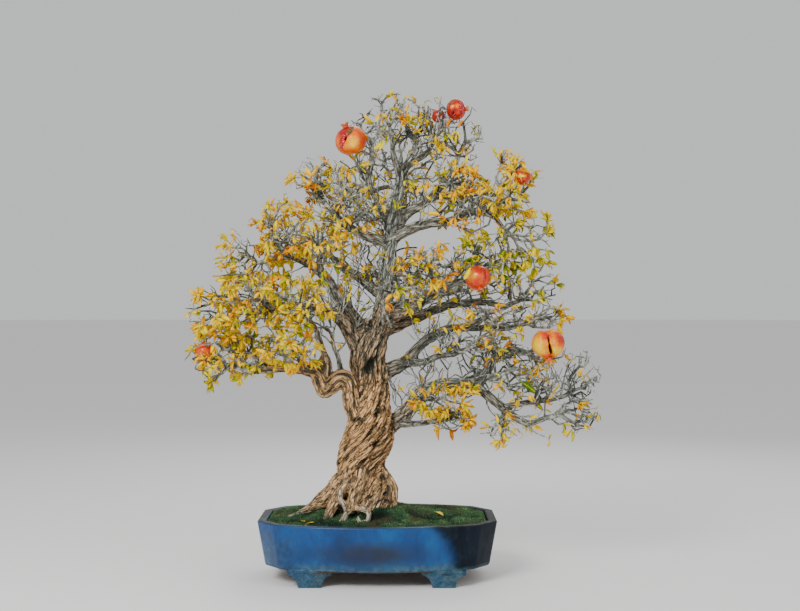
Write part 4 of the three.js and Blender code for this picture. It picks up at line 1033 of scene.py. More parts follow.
class Spray:
    def __init__(self, index, centre, reach, limb, along):
        first, more = growth["seed"]
        self.chance = random.Random(first + index * more)
        self.centre = potMiddle + Vector(centre)
        self.reach = Vector(reach) * growth["fullness"]
        route = limbs[limb] if along == 1 else feederRoute(centre, reach, limb, along)
        end, self.rootRadius = onRoute(route, 1)
        self.seat = potMiddle + end
        heading = headingAt(route, 1)
        inward = self.centre - self.seat
        stem = (heading * growth["lead"] + inward.normalized() * (1 - growth["lead"])).normalized()
        stem *= max(inward.length * growth["stem"], growth["shortStem"])
        inside = self.seat - heading * growth["sunk"]
        self.places = [inside, self.seat, self.seat + stem * 0.5, self.seat + stem]
        self.parents = [-1, 0, 1, 2]
        self.away = [0, 0, stem.length * 0.5, stem.length]
        self.table = np.zeros((growth["most"], 4))
        for row, (place, away) in enumerate(zip(self.places, self.away)):
            self.table[row] = (*place, away)

    def depth(self, place):
        return Vector([part / size for part, size in zip(place - self.centre, self.reach)]).length

    def extend(self, start, end):
        # a crooked twig from a joint to its goal
        span = end - self.places[start]
        steps = max(1, round(span.length / growth["step"]))
        before = start
        for step in range(1, steps + 1):
            share = step / steps
            place = self.places[start] + span * share
            place.z += growth["lift"] * span.length * math.sin(math.pi * share)
            if step < steps:
                place += randomOffset(self.chance) * growth["crook"] * span.length / steps
            row = len(self.places)
            length = (place - self.places[before]).length
            self.places.append(place)
            self.parents.append(before)
            self.away.append(self.away[before] + length)
            self.table[row] = (*place, self.away[row])
            before = row
        return before

    def grow(self):
        goals = []
        while len(goals) < growth["goals"]:
            place = self.centre + scaled(drawGoal(self.chance), self.reach)
            if insideBox(place, growth["goalMargin"]):
                goals.append(place)
        goals.sort(key=lambda place: (place - self.seat).length * self.chance.uniform(*growth["shuffle"]))
        self.tips = []
        for goal in goals:
            known = self.table[2:len(self.places)]
            cost = np.linalg.norm(known[:, :3] - np.array(goal), axis=1) + growth["detour"] * known[:, 3]
            self.tips.append(self.extend(2 + int(cost.argmin()), goal))
        for spur in range(growth["spurs"]):
            joint = self.chance.randrange(4, len(self.places))
            end = self.places[joint] + randomWay(self.chance) * self.chance.uniform(*growth["spurLength"])
            if insideBox(end):
                self.tips.append(self.extend(joint, end))

    def thicken(self):
        load = [0.0] * len(self.places)
        for tip in self.tips:
            load[tip] += 1
        for row in range(len(self.places) - 1, 0, -1):
            load[self.parents[row]] += load[row]
        most = max(load[2], 1)
        scale = min(self.rootRadius / growth["tipRadius"], most ** growth["share"])
        power = math.log(scale) / math.log(most)
        self.radii = [growth["tipRadius"] * max(part, 1) ** power for part in load]
        self.load = load

    def strands(self):
        # each twig runs on through its heaviest fork
        children = {}
        for row, parent in enumerate(self.parents):
            children.setdefault(parent, []).append(row)
        rows = [[0]]
        strands = []
        while rows:
            strand = rows.pop()
            while children.get(strand[-1]):
                forks = sorted(children.pop(strand[-1]), key=lambda row: -self.load[row])
                for fork in forks[1:]:
                    rows.append([strand[-1], fork])
                strand.append(forks[0])
            points = [(self.places[row], self.radii[row]) for row in strand]
            if strand[0]:
                points[0] = (points[0][0], points[1][1])
            points[-1] = (points[-1][0], points[-1][1] * growth["tipTaper"])
            strands.append(points)
        return strands


def leafTemplate(bend, fold, curl, roll):
    # one leaf along +Y, a unit long, with its stalk at the origin
    bm = bmesh.new()
    bm.loops.layers.uv.new("leafMap")
    across, down = foliage["segments"]
    bmesh.ops.create_grid(bm, x_segments=across, y_segments=down, size=0.5, calc_uvs=True)
    for vert in bm.verts:
        along = vert.co.y + 0.5
        aside = vert.co.x * 2
        blade = max(0, (along - foliage["petiole"]) / (1 - foliage["petiole"]))
        bulge = math.sin(math.pi * min(blade, foliage["bladeEnd"]) ** foliage["bulgeAt"]) ** foliage["bulge"]
        half = (foliage["stalkWidth"] + foliage["width"] * bulge) / 2
        lift = abs(aside) * fold * half
        lift += foliage["wave"] * aside * math.sin(foliage["waves"] * along + roll)
        angle = bend * along + curl * along ** 3
        reach = math.sin(angle) / angle * along if abs(angle) > 0.01 else along
        drop = (1 - math.cos(angle)) / angle * along if abs(angle) > 0.01 else 0
        spread = aside * half * (1 - foliage["narrowed"] * abs(fold))
        vert.co = (spread, reach, lift * half * foliage["crest"] - drop)
    turn = Matrix.Rotation(roll * foliage["rolled"], 3, "Y")
    bmesh.ops.rotate(bm, verts=bm.verts, cent=(0, 0, 0), matrix=turn)
    bmesh.ops.solidify(bm, geom=bm.faces, thickness=foliage["thickness"])
    bmesh.ops.recalc_face_normals(bm, faces=bm.faces)
    for face in bm.faces:
        face.material_index = 1
    return meshOf(bm, "leaf")


def leafFrame(way, chance):
    # turns a leaf to grow along a way with its upper face roughly to the sky
    up = Vector((0, 0, 1)) + Vector([chance.gauss(0, foliage["tumble"]) for axis in range(3)])
    up = (up - way * up.dot(way)).normalized()
    return Matrix((way.cross(up), way, up)).transposed()


def scattered(templates, copies):
    # small meshes set down many times, each as (template, matrix, tone)
    whole = bmesh.new()
    whole.verts.layers.float.new("tone")
    for first in range(0, len(copies), foliage["copies"]):
        part = bmesh.new()
        tones = part.verts.layers.float.new("tone")
        for template, matrix, tone in copies[first:first + foliage["copies"]]:
            start = len(part.verts)
            part.from_mesh(templates[template])
            part.verts.ensure_lookup_table()
            fresh = part.verts[start:]
            bmesh.ops.transform(part, matrix=matrix, verts=fresh)
            for vert in fresh:
                vert[tones] = tone
        lot = meshOf(part, "lot")
        whole.from_mesh(lot)
        bpy.data.meshes.remove(lot)
    return whole


def leafCopy(place, turn, tone, tones, chance):
    # a leaf for scattered(), of any shape, with its own shade of a tone
    shade = min(max(chance.gauss(tone, tones), 0), 1)
    return chance.randrange(len(leafShapes)), Matrix.Translation(place) @ turn.to_4x4(), shade


def leafCopies(spray, leaves, middle):
    chance = spray.chance
    sites = [tip for tip in spray.tips if spray.depth(spray.places[tip]) > foliage["outer"]] or spray.tips
    margin = growth["leafMargin"]
    copies = []
    while len(copies) < leaves:
        tip = chance.choice(sites)
        place = spray.places[tip]
        heading = (place - spray.places[spray.parents[tip]]).normalized()
        tone = chance.gauss(middle, foliage["clusterTones"])
        for leaf in range(chance.randint(*foliage["cluster"])):
            aside = randomWay(chance) * foliage["spread"]
            way = (heading + aside - Vector((0, 0, foliage["droop"]))).normalized()
            size = chance.uniform(*foliage["length"])
            if insideBox(place + way * size, margin) and insideBox(place, margin):
                turn = leafFrame(way, chance) * size
                copies.append(leafCopy(place, turn, tone, foliage["leafTones"], chance))
    return copies[:leaves]


def addTwigs(bm, strands):
    # stout twigs have rounder sides and darker bark
    tones = bm.verts.layers.float["tone"]
    for stout in (False, True):
        chosen = [strand for strand in strands if (strand[0][1] > growth["thick"]) == stout]
        if chosen:
            first = len(bm.verts)
            bm.from_mesh(strandMesh(chosen, int(stout)))
            bm.verts.ensure_lookup_table()
            for vert in bm.verts[first:]:
                vert[tones] = 0.5 * stout


def makeSpray(index, spec, templates, materials):
    name, centre, reach, limb, along, leaves, tone = spec
    spray = Spray(index, centre, reach, limb, along)
    spray.grow()
    spray.thicken()
    strands = spray.strands()
    bm = scattered(templates, leafCopies(spray, leaves, tone))
    addTwigs(bm, strands)
    finishPiece("leafySpray_" + name, meshOf(bm, "spray"), materials, ["spray_" + name])
    return spray.places[2:]


# Single twigs that stand clear of the rest: the radii at both ends, then points.
clearTwigs = [
    (0.0026, 0.0014, (-0.085, -0.025, 0.354), (-0.09, -0.032, 0.371), (-0.0996, -0.036, 0.387),
     (-0.095, -0.038, 0.4016), (-0.074, -0.04, 0.4027), (-0.077, -0.042, 0.4276),
     (-0.0906, -0.042, 0.452)),
    (0.0017, 0.0012, (0.098, -0.012, 0.354), (0.0858, -0.014, 0.35), (0.0665, -0.014, 0.3295),
     (0.0717, -0.008, 0.304)),
    (0.0016, 0.0011, (0.1, -0.014, 0.352), (0.113, -0.018, 0.333), (0.1125, -0.014, 0.313)),
    (0.0012, 0.0009, (0.1125, -0.017, 0.333), (0.1198, -0.02, 0.3477)),
    (0.0014, 0.001, (0.091, -0.012, 0.348), (0.0915, -0.016, 0.3386), (0.0994, -0.016, 0.3273),
     (0.0983, -0.012, 0.313)),
    (0.0011, 0.0008, (0.0994, -0.016, 0.3273), (0.1051, -0.018, 0.3363)),
    (0.0015, 0.0011, (0.128, -0.02, 0.354), (0.1336, -0.024, 0.3341), (0.1381, -0.016, 0.317)),
    (0.0012, 0.0008, (0.1381, -0.02, 0.3193), (0.1506, -0.024, 0.3318), (0.15, -0.026, 0.3443)),
    (0.0021, 0.0015, (0.12, -0.016, 0.572), (0.13, -0.03, 0.5637), (0.1502, -0.036, 0.5536),
     (0.1771, -0.04, 0.5659), (0.1826, -0.038, 0.5816), (0.195, -0.036, 0.5962)),
    (0.0022, 0.0016, (0.012, -0.008, 0.541), (0.0199, -0.02, 0.5443), (0.036, -0.024, 0.551),
     (0.056, -0.02, 0.562)),
    (0.003, 0.0014, (-0.064, -0.02, 0.576), (-0.0675, -0.026, 0.606), (-0.0788, -0.026, 0.6074),
     (-0.0901, -0.028, 0.6052), (-0.0957, -0.028, 0.6164), (-0.1081, -0.028, 0.6256),
     (-0.1194, -0.026, 0.6369), (-0.1216, -0.024, 0.6459)),
    (0.0024, 0.0015, (0.0221, -0.022, 0.402), (0.013, -0.036, 0.424), (0.0008, -0.038, 0.447)),
    (0.0021, 0.0014, (0.0085, -0.022, 0.402), (0.0085, -0.036, 0.424), (0.0168, -0.038, 0.452)),
    (0.0022, 0.0014, (0.066, -0.022, 0.441), (0.0619, -0.034, 0.4655), (0.0486, -0.038, 0.4868),
     (0.0301, -0.038, 0.5132)),
    (0.0015, 0.0011, (0.0486, -0.038, 0.4868), (0.0539, -0.04, 0.5028), (0.0646, -0.04, 0.5159)),
    (0.0021, 0.0013, (0.034, -0.002, 0.652), (0.052, -0.014, 0.681), (0.0776, -0.016, 0.7068)),
    (0.0017, 0.0012, (0.06, -0.008, 0.562), (0.068, -0.02, 0.57), (0.0752, -0.022, 0.582)),
    (0.0019, 0.0012, (0.1, 0.0, 0.728), (0.1035, -0.006, 0.745), (0.1, -0.008, 0.7588),
     (0.1029, -0.008, 0.775)),
    (0.0013, 0.0009, (0.1005, -0.008, 0.762), (0.094, -0.01, 0.7665), (0.0905, -0.01, 0.774)),
    (0.0014, 0.0009, (-0.2, -0.02, 0.51), (-0.22, -0.022, 0.5193), (-0.2279, -0.024, 0.5306),
     (-0.2189, -0.024, 0.5396), (-0.2212, -0.022, 0.5488), (-0.229, -0.02, 0.5567)),
]

# Single leaves that stand clear: where the stalk and the tip are, and the autumn colour.
clearLeaves = [
    ((0.2241, -0.06, 0.3186), (0.2541, -0.062, 0.3013), 0.1),
    ((0.1862, -0.06, 0.3297), (0.1972, -0.066, 0.325), 0.4),
    ((0.1957, -0.06, 0.3234), (0.1957, -0.066, 0.3076), 0.42),
    ((0.1893, -0.06, 0.4704), (0.2004, -0.066, 0.4593), 0.5),
    ((0.2399, -0.06, 0.4625), (0.2478, -0.064, 0.4514), 0.46),
    ((0.2541, -0.058, 0.4483), (0.2652, -0.062, 0.4404), 0.5),
    ((0.0086, -0.05, 0.699), (-0.0059, -0.054, 0.6791), 0.4),
    ((0.0113, -0.05, 0.699), (0.0031, -0.054, 0.6791), 0.42),
    ((0.1454, -0.098, 0.4961), (0.1353, -0.1, 0.4729), 0.4),
    ((0.0795, -0.05, 0.5836), (0.1033, -0.056, 0.583), 0.5),
    ((0.1108, -0.042, 0.7205), (0.1156, -0.046, 0.738), 0.72),
    ((0.1283, -0.042, 0.7205), (0.1363, -0.046, 0.7349), 0.7),
    ((0.1878, -0.06, 0.2649), (0.1925, -0.064, 0.2491), 0.44),
    ((0.1925, -0.062, 0.2491), (0.1957, -0.066, 0.2333), 0.46),
    ((0.0298, -0.09, 0.4621), (0.0376, -0.096, 0.4434), 0.48),
    ((0.1809, -0.06, 0.6875), (0.1915, -0.066, 0.6755), 0.3),
    ((0.1845, -0.06, 0.6805), (0.1925, -0.066, 0.6675), 0.36),
    ((0.2275, -0.062, 0.662), (0.2385, -0.066, 0.648), 0.42),
    ((0.2275, -0.062, 0.639), (0.2345, -0.066, 0.6245), 0.4),
    ((0.2215, -0.066, 0.632), (0.2275, -0.07, 0.613), 0.54),
    ((0.1735, -0.06, 0.629), (0.1805, -0.066, 0.609), 0.46),
]

# Small bunches of leaves: middle, reach, how many and the autumn colour.
leafBunches = [
    ((0.1315, -0.04, 0.304), (0.017, 0.01, 0.014), 30, 0.5),
    ((0.0965, -0.038, 0.309), (0.014, 0.008, 0.008), 14, 0.52),
    ((0.2135, -0.08, 0.637), (0.009, 0.004, 0.017), 15, 0.52),
    ((-0.26, -0.1, 0.355), (0.018, 0.005, 0.008), 20, 0.54),
    ((0.006, -0.04, 0.606), (0.012, 0.008, 0.012), 10, 0.5),
    ((-0.057, -0.045, 0.6), (0.008, 0.006, 0.013), 9, 0.52),
    ((0.234, -0.076, 0.652), (0.01, 0.003, 0.006), 5, 0.6),
    ((0.1115, -0.035, 0.7125), (0.004, 0.003, 0.003), 4, 0.27),
    ((0.1256, -0.035, 0.714), (0.003, 0.003, 0.003), 3, 0.45),
    ((0.203, -0.062, 0.68), (0.009, 0.004, 0.007), 10, 0.5),
    ((0.2155, -0.066, 0.668), (0.01, 0.004, 0.009), 14, 0.46),
    ((0.201, -0.064, 0.656), (0.006, 0.004, 0.01), 8, 0.54),
]

shoots = {
    "seed": 66,
    "spacing": 0.015,
    "clear": (-0.1, 0.04, 0.36),  # none between these two x and lower than this, so the bole stays bare
    "from": 0.12,  # share of a limb that stays bare
    "length": (0.02, 0.065),
    "radius": (0.0011, 0.002),
    "most": 0.6,  # of the limb's radius
    "onward": 0.7,
    "upward": 0.6,
    "step": (0.006, 0.012),
    "crook": 0.42,
    "rise": 0.12,
    "taper": 0.65,
    "tipRadius": 0.00068,
    "fork": 0.42,
    "forkAside": 0.9,
    "forkRadius": 0.8,
    "forkLength": (0.5, 0.9),
    "forkLeast": 0.008,
    "levels": 2,
    "leafy": 0.3,
    "leaves": (1, 3),
    "leafSize": 0.9,
    "tone": 0.46,
    "tones": 0.12,
}

# The bunches: how far in they are filled, the way they hang, and how often a leaf has its own stem.
bunch = {"fill": 0.4, "lean": (0, -0.7, -0.5), "leafSize": 0.95, "stemEvery": 3}

# The stems from a twig to a single leaf.
leafStem = {"radii": (0.0009, 0.0008, 0.0007), "arch": 0.002}


def growShoot(place, way, length, radius, level, chance, strands, tips):
    strand = [(place, radius)]
    done = 0
    while done < length:
        step = chance.uniform(*shoots["step"])
        way = (way + randomWay(chance) * shoots["crook"] + Vector((0, 0, shoots["rise"]))).normalized()
        if not insideBox(place + way * step):
            break
        place = place + way * step
        done += step
        thin = max(radius * (1 - shoots["taper"] * done / length), shoots["tipRadius"])
        strand.append((place, thin))
        if level < shoots["levels"] and chance.random() < shoots["fork"]:
            side = (way + randomWay(chance) * shoots["forkAside"]).normalized()
            rest = (length - done) * chance.uniform(*shoots["forkLength"]) + shoots["forkLeast"]
            growShoot(place, side, rest, thin * shoots["forkRadius"], level + 1, chance, strands, tips)
    if len(strand) > 1:
        strands.append(strand)
        tips.append((place, way))


def growLimbShoots(chance, strands, tips):
    left, right, top = shoots["clear"]
    for route in limbs.values():
        for shoot in range(round(routeLength(route) * (1 - shoots["from"]) / shoots["spacing"])):
            t = chance.uniform(shoots["from"], 1)
            place, radius = onRoute(route, t)
            if left < place.x < right and place.z < top:
                continue
            way = randomWay(chance) + headingAt(route, t) * shoots["onward"]
            way = (way + Vector((0, 0, shoots["upward"]))).normalized()
            start = potMiddle + place + way * radius * shoots["most"]
            length = chance.uniform(*shoots["length"])
            thick = min(chance.uniform(*shoots["radius"]), radius * shoots["most"])
            growShoot(start, way, length, thick, 0, chance, strands, tips)


def addClearTwigs(strands, tips):
    for thick, thin, *route in clearTwigs:
        points = [Vector(place) + potMiddle for place in route]
        last = len(points) - 1
        strands.append([(place, thick + (thin - thick) * step / last) for step, place in enumerate(points)])
        tips.append((points[-1], (points[-1] - points[-2]).normalized()))


def tipLeaves(chance, tips):
    copies = []
    for place, way in tips:
        if chance.random() < shoots["leafy"]:
            for leaf in range(chance.randint(*shoots["leaves"])):
                lean = (way + randomWay(chance) * foliage["spread"]).normalized()
                size = chance.uniform(*foliage["length"]) * shoots["leafSize"]
                if insideBox(place + lean * size, growth["leafMargin"]):
                    turn = leafFrame(lean, chance) * size
                    copies.append(leafCopy(place, turn, shoots["tone"], shoots["tones"], chance))
    return copies


def stemTo(place, joints, arch=0):
    # a thin stem from the nearest joint of the twigs
    joint = Vector(joints[np.linalg.norm(joints - np.array(place), axis=1).argmin()])
    middle = joint.lerp(place, 0.5) + Vector((0, 0, arch))
    return list(zip((joint, middle, place), leafStem["radii"]))


def addClearLeaves(strands, copies, joints):
    for stalk, tip, tone in clearLeaves:
        way = Vector(tip) - Vector(stalk)
        place = potMiddle + Vector(stalk)
        strands.append(stemTo(place, joints, leafStem["arch"]))
        side = Vector((0, -1, 0)).cross(way).normalized()
        turn = Matrix((side, way.normalized(), side.cross(way.normalized()))).transposed() * way.length
        copies.append((1, Matrix.Translation(place) @ turn.to_4x4(), tone))


def addLeafBunches(chance, strands, copies, joints):
    for middle, reach, leaves, tone in leafBunches:
        for leaf in range(leaves):
            away = scaled(randomWay(chance) * chance.random() ** bunch["fill"], reach)
            place = potMiddle + Vector(middle) + away
            way = (randomWay(chance) + Vector(bunch["lean"])).normalized()
            turn = leafFrame(way, chance) * chance.uniform(*foliage["length"]) * bunch["leafSize"]
            copies.append(leafCopy(place, turn, tone, foliage["leafTones"], chance))
            if leaf % bunch["stemEvery"] == 0:
                strands.append(stemTo(place, joints))


def makeLimbShoots(templates, materials, joints):
    # short twigs straight from the limbs, so that the crown is full between its sprays
    chance = random.Random(shoots["seed"])
    strands = []
    tips = []
    growLimbShoots(chance, strands, tips)
    addClearTwigs(strands, tips)
    copies = tipLeaves(chance, tips)
    addClearLeaves(strands, copies, joints)
    addLeafBunches(chance, strands, copies, joints)
    bm = scattered(templates, copies)
    addTwigs(bm, strands)
    finishPiece("limbShoots", meshOf(bm, "shoots"), materials)


def makeTwigMaterial():
    material, nodes, shader = newMaterial("greyTwig", 0.8)
    place = objectPlace(nodes)
    mottle = grainNoise(nodes, place, 160, 3)
    broad = grainNoise(nodes, place, 22, 2)
    fine = grade(nodes, mottle, 0.3, 0.7, 0, 0.6)
    tone = reckon(nodes, "ADD", fine, grade(nodes, broad, 0.35, 0.65, 0, 0.4))
    colour = ramp(nodes, tone, [
        (0.0, (0.036, 0.039, 0.032)), (0.3, (0.12, 0.13, 0.108)),
        (0.65, (0.31, 0.325, 0.28)), (1.0, (0.7, 0.71, 0.65)),
    ])
    colour = blendColour(nodes, attribute(nodes, "tone"), colour, (0.42, 0.42, 0.4), "MULTIPLY")
    nodes.links.new(colour, shader.inputs["Base Color"])
    relief(nodes, shader, mottle, 0.0006, 0.6)
    return material


def makeLeafMaterial():
    material, nodes, shader = newMaterial("autumnLeaf", 0.5, 0.12)
    leafMap = addNode(nodes, "ShaderNodeUVMap", {"uv_map": "leafMap"}).outputs[0]
    across, along, _ = addNode(nodes, "ShaderNodeSeparateXYZ", None, None, {"Vector": leafMap}).outputs
    side = farFrom(nodes, across, 0.5)
    mottle = grainNoise(nodes, objectPlace(nodes), 150, 3)
    tone = reckon(nodes, "ADD", attribute(nodes, "tone"), grade(nodes, mottle, 0.3, 0.75, -0.08, 0.12))
    tone = reckon(nodes, "ADD", tone, grade(nodes, along, 0.5, 1.0, 0, 0.08))
    colour = ramp(nodes, tone, [
        (0.0, (0.02, 0.085, 0.003)), (0.16, (0.085, 0.18, 0.001)), (0.3, (0.42, 0.44, 0.0)),
        (0.42, (0.86, 0.68, 0.0)), (0.58, (0.92, 0.55, 0.0)), (0.76, (0.74, 0.2, 0.0)),
        (1.0, (0.2, 0.045, 0.002)),
    ])
    veined = blendColour(nodes, grade(nodes, side, 0.0, 0.09, 0.45, 0), colour, (0.9, 0.74, 0.01))
    edged = blendColour(nodes, grade(nodes, side, 0.36, 0.5, 0, 0.35), veined, (0.45, 0.18, 0.02))
    nodes.links.new(edged, shader.inputs["Base Color"])
    bands = {"wave_type": "BANDS", "bands_direction": "Y"}
    ribs = addNode(nodes, "ShaderNodeTexWave", bands, {"Scale": 4.5, "Distortion": 0.6}, {"Vector": leafMap})
    relief(nodes, shader, ribs.outputs["Fac"], 0.0004, 0.5)
    return material


def makeSprays():
    templates = [leafTemplate(*shape) for shape in leafShapes]
    materials = [makeTwigMaterial(), makeLeafMaterial()]
    joints = []
    for index, spec in enumerate(sprays):
        joints += makeSpray(index, spec, templates, materials)
    makeLimbShoots(templates, materials, np.array(joints))
    for template in templates:
        bpy.data.meshes.remove(template)


# Fruits: ribbed spheres with cracks, a dried crown, and seeds where the skin has opened.

fruitShape = {
    "seed": 811,
    "sides": 128,
    "rows": 88,
    "small": 0.016,  # fruits up to this radius have half the sides and rows
    "flatness": 0.93,
    "ribs": 6,
    "ribDepth": 0.014,
    "lumps": 0.03,
    "lumpScale": 1.3,
    "ripples": 0.006,
    "rippleScale": 7,
    "dimple": 0.09,
    "dimpleReach": 0.5,
    "blotches": 0.16,
    "blotchScale": 2.4,
    "blushAndHighlightReach": (0.1, 1.35),  # shares of its reach where a spot of blush or of painted highlight starts to fade and where it ends
}

markShape = {
    "steps": 30,
    "least": 0.04,  # how open the ends are
    "openness": 0.55,  # under one opens the mark nearer to its ends
    "wander": 0.25,  # how unevenly wide it is
    "wanderScale": 5,
    "foldEdge": (0.0, 1.0),
    "sharpEdge": (0.62, 1.0),
    "lip": 0.03,
    "lipAt": 1.1,
    "lipReach": 0.05,
    "shown": (0.05, 0.35),  # how sunk the skin is where the mark's colour starts and where it is full
}

seedShape = {
    "along": (0.12, 0.88),  # where they sit along a split
    "aside": 0.75,
    "depth": (0.35, 0.6),
    "radius": (0.085, 0.115),
    "length": (1.1, 1.5),
}

# What has happened to a fruit's skin: a kind, a route of places on it seen from the front (right and up,
# in shares of its radius), the half width and the depth there, and how many seeds show.
skinMarks = {
    "upper_left": [
        ("scar", ((0.16, 0.96), (0.02, 0.62), (-0.28, 0.26), (-0.5, 0.02)), 0.17, 0.07, 0),
        ("split", ((-0.12, 0.42), (-0.44, 0.06), (-0.58, -0.26), (-0.52, -0.74)), 0.22, 0.3, 20),
    ],
    "top": [
        ("scar", ((-0.72, 0.2), (-0.5, 0.55), (-0.1, 0.8)), 0.2, 0.05, 0),
        ("split", ((0.25, 0.68), (0.46, 0.22), (0.62, -0.2), (0.58, -0.55)), 0.2, 0.14, 34),
        ("split", ((-0.5, -0.15), (-0.34, -0.5), (-0.02, -0.78)), 0.19, 0.3, 5),
    ],
    "right_mid": [
        ("fold", ((0.5, 0.8), (0.6, 0.3), (0.62, -0.2), (0.5, -0.6)), 0.3, 0.08, 0),
        ("split", ((0.52, 0.68), (0.62, 0.3), (0.64, -0.16)), 0.07, 0.3, 0),
    ],
    "right": [
        ("fold", (
            (-0.05, 0.7, 0.7), (-0.1, 0.98), (-0.08, 0.4), (0.0, -0.2), (0.12, -0.9), (0.1, -0.8, 0.5),
        ), 0.5, 0.25, 0),
        ("split", ((-0.08, 0.8), (-0.06, 0.3), (0.02, -0.25), (0.12, -0.6), (0.14, -0.9)), 0.08, 0.42, 0),
        ("split", ((-0.02, 0.0), (0.04, -0.35), (0.14, -0.65), (0.16, -0.84)), 0.14, 0.38, 0),
    ],
    "left": [("scar", ((0.2, 0.8), (0.5, 0.5)), 0.25, 0.05, 0)],
}

# How red a fruit is from yellow (0) to crimson (1), and where it is yellower or redder: a place seen from
# the front, how far that reaches and by how much. The redder spots are the skin's own blush; the yellower
# spots are painted highlights where the light falls brightest.
blushesAndHighlights = {
    "upper_left": (0.56, [
        ((-0.45, 0.62), 0.6, 0.45), ((0.12, -0.3), 0.55, -0.42), ((0.85, -0.2), 0.5, 0.12),
    ]),
    "top": (0.84, [((-0.42, 0.12), 0.25, -0.6), ((0.12, 0.2), 0.3, -0.4), ((-0.7, -0.5), 0.5, 0.15)]),
    "top_back": (0.86, []),
    "right_high": (0.74, [((0.3, 0.2), 0.5, -0.2)]),
    "right_mid": (0.7, [((-0.5, 0.1), 0.5, -0.5), ((0.1, 0.6), 0.5, 0.15)]),
    "right": (0.42, [
        ((-0.75, -0.25), 0.75, -0.42), ((-0.25, 0.62), 0.4, 0.4), ((0.5, -0.5), 0.45, -0.42),
        ((0.8, 0.4), 0.65, 0.34), ((-0.12, -0.9), 0.3, 0.25),
    ]),
    "left": (0.68, [((-0.3, -0.2), 0.5, -0.15)]),
}

# The dried crown, from the middle of its foot over the rim to the middle of its floor: reach and height in
# shares of the fruit's radius, and how far the lobes pull that ring.
crownProfile = [
    (0, -0.16, 0), (0.25, -0.12, 0), (0.24, -0.02, 0), (0.24, 0.06, 0), (0.27, 0.14, 0.15),
    (0.32, 0.2, 0.5), (0.37, 0.25, 0.85), (0.385, 0.275, 1), (0.36, 0.27, 1), (0.3, 0.22, 0.8),
    (0.24, 0.15, 0.3), (0.19, 0.08, 0), (0, 0.03, 0),
]

crown = {
    "size": 0.8,
    "lobes": 6,
    "sides": 60,
    "lobeRise": 0.16,
    "lobeFlare": 0.05,
    "lobeRoundness": 0.8,
    "lobeMiddle": 0.45,  # where the wave of the lobes crosses their ring
    "stamens": 22,
    "stamenReach": 0.16,
    "stamenLean": 0.5,
    "stamenLength": (0.14, 0.26),
    "stamenRadius": 0.014,
    "stamenKnob": 1.3,
    "redness": 0.7,
    "dried": 0.8,
    "driedFrom": 0.05,
    "driedOver": 0.3,
}


def facing(spot):
    # a direction on the front of a fruit, or farther back where a third number says so
    right, up, *back = spot
    depth = back[0] if back else -math.sqrt(max(0, 1 - right * right - up * up))
    return Vector((right, depth, up)).normalized()


def markSteps(route):
    # directions evenly along a route over the skin, with how open the mark is there
    turns = [facing(spot) for spot in route]
    steps = []
    legs = len(turns) - 1
    for step in range(markShape["steps"] + 1):
        share = step / markShape["steps"]
        leg = min(int(share * legs), legs - 1)
        way = turns[leg].slerp(turns[leg + 1], share * legs - leg)
        steps.append((way, max(markShape["least"], math.sin(math.pi * share)) ** markShape["openness"]))
    return steps


def turnedBody(profile, sides, place):
    # a closed body of revolution whose rings are placed by a function of ring and angle
    bm = bmesh.new()
    bmesh.ops.create_uvsphere(bm, u_segments=sides, v_segments=len(profile) - 1, radius=1)
    for vert in bm.verts:
        ring = round(math.acos(max(-1, min(1, -vert.co.z))) / math.pi * (len(profile) - 1))
        vert.co = place(profile[ring], math.atan2(vert.co.y, vert.co.x))
    return bm


def crownPlace(row, angle):
    reach, height, pull = (part * crown["size"] for part in row)
    lobe = abs(math.cos(crown["lobes"] / 2 * angle)) ** crown["lobeRoundness"] - crown["lobeMiddle"]
    reach += crown["lobeFlare"] * pull * lobe
    height += fruitShape["flatness"] + crown["lobeRise"] * pull * lobe
    return Vector((reach * math.cos(angle), reach * math.sin(angle), height))


def swelling(local, world, chance):
    # how far each place of an unmarked skin stands out, in shares of the radius
    angle = np.arctan2(local[:, 1], local[:, 0])
    outward = np.hypot(local[:, 0], local[:, 1])
    swell = 1 + fruitShape["ribDepth"] * np.cos(fruitShape["ribs"] * angle) * outward
    swell += fruitShape["lumps"] * noiseAt(world * fruitShape["lumpScale"] + chance.uniform(0, 50), 3)
    swell += fruitShape["ripples"] * noiseAt(world * fruitShape["rippleScale"] + 20, 2)
    return swell - fruitShape["dimple"] * smoothStep(-local[:, 2], 1 - fruitShape["dimpleReach"] ** 2 / 2, 1)


def cutMarks(name, world, swell):
    # how far the skin stands out once its marks are cut, and how far each kind of them shows
    found = {kind: np.zeros(len(world)) for kind in ("split", "scar", "fold")}
    for kind, route, halfWidth, depth, seeds in skinMarks.get(name, []):
        ways, openings = zip(*markSteps(route))
        apart = np.linalg.norm(world[:, None] - np.array(ways)[None], axis=2)
        opening = np.array(openings)[apart.argmin(axis=1)]
        width = halfWidth * opening
        width *= 1 + markShape["wander"] * noiseAt(world * markShape["wanderScale"] + 7, 2)
        reach = apart.min(axis=1) / width
        edge = markShape["foldEdge" if kind == "fold" else "sharpEdge"]
        sunk = (1 - smoothStep(reach, *edge)) * opening
        swell = swell - depth * sunk
        if kind == "split":
            fromLip = (reach - markShape["lipAt"]) * width / markShape["lipReach"]
            swell = swell + markShape["lip"] * np.exp(-fromLip ** 2)
        found[kind] = np.maximum(found[kind], smoothStep(sunk, *markShape["shown"]))
    return swell, found


def rednessAt(name, world):
    # the skin's own redness and blushes, with painted highlights where it is yellower
    redness, tints = blushesAndHighlights[name]
    redness = redness + fruitShape["blotches"] * noiseAt(world * fruitShape["blotchScale"] + 3, 3)
    near, far = fruitShape["blushAndHighlightReach"]
    for spot, reach, change in tints:
        apart = np.linalg.norm(world - np.array(facing(spot)), axis=1)
        redness += change * (1 - smoothStep(apart, near * reach, far * reach))
    return np.clip(redness, 0, 1)


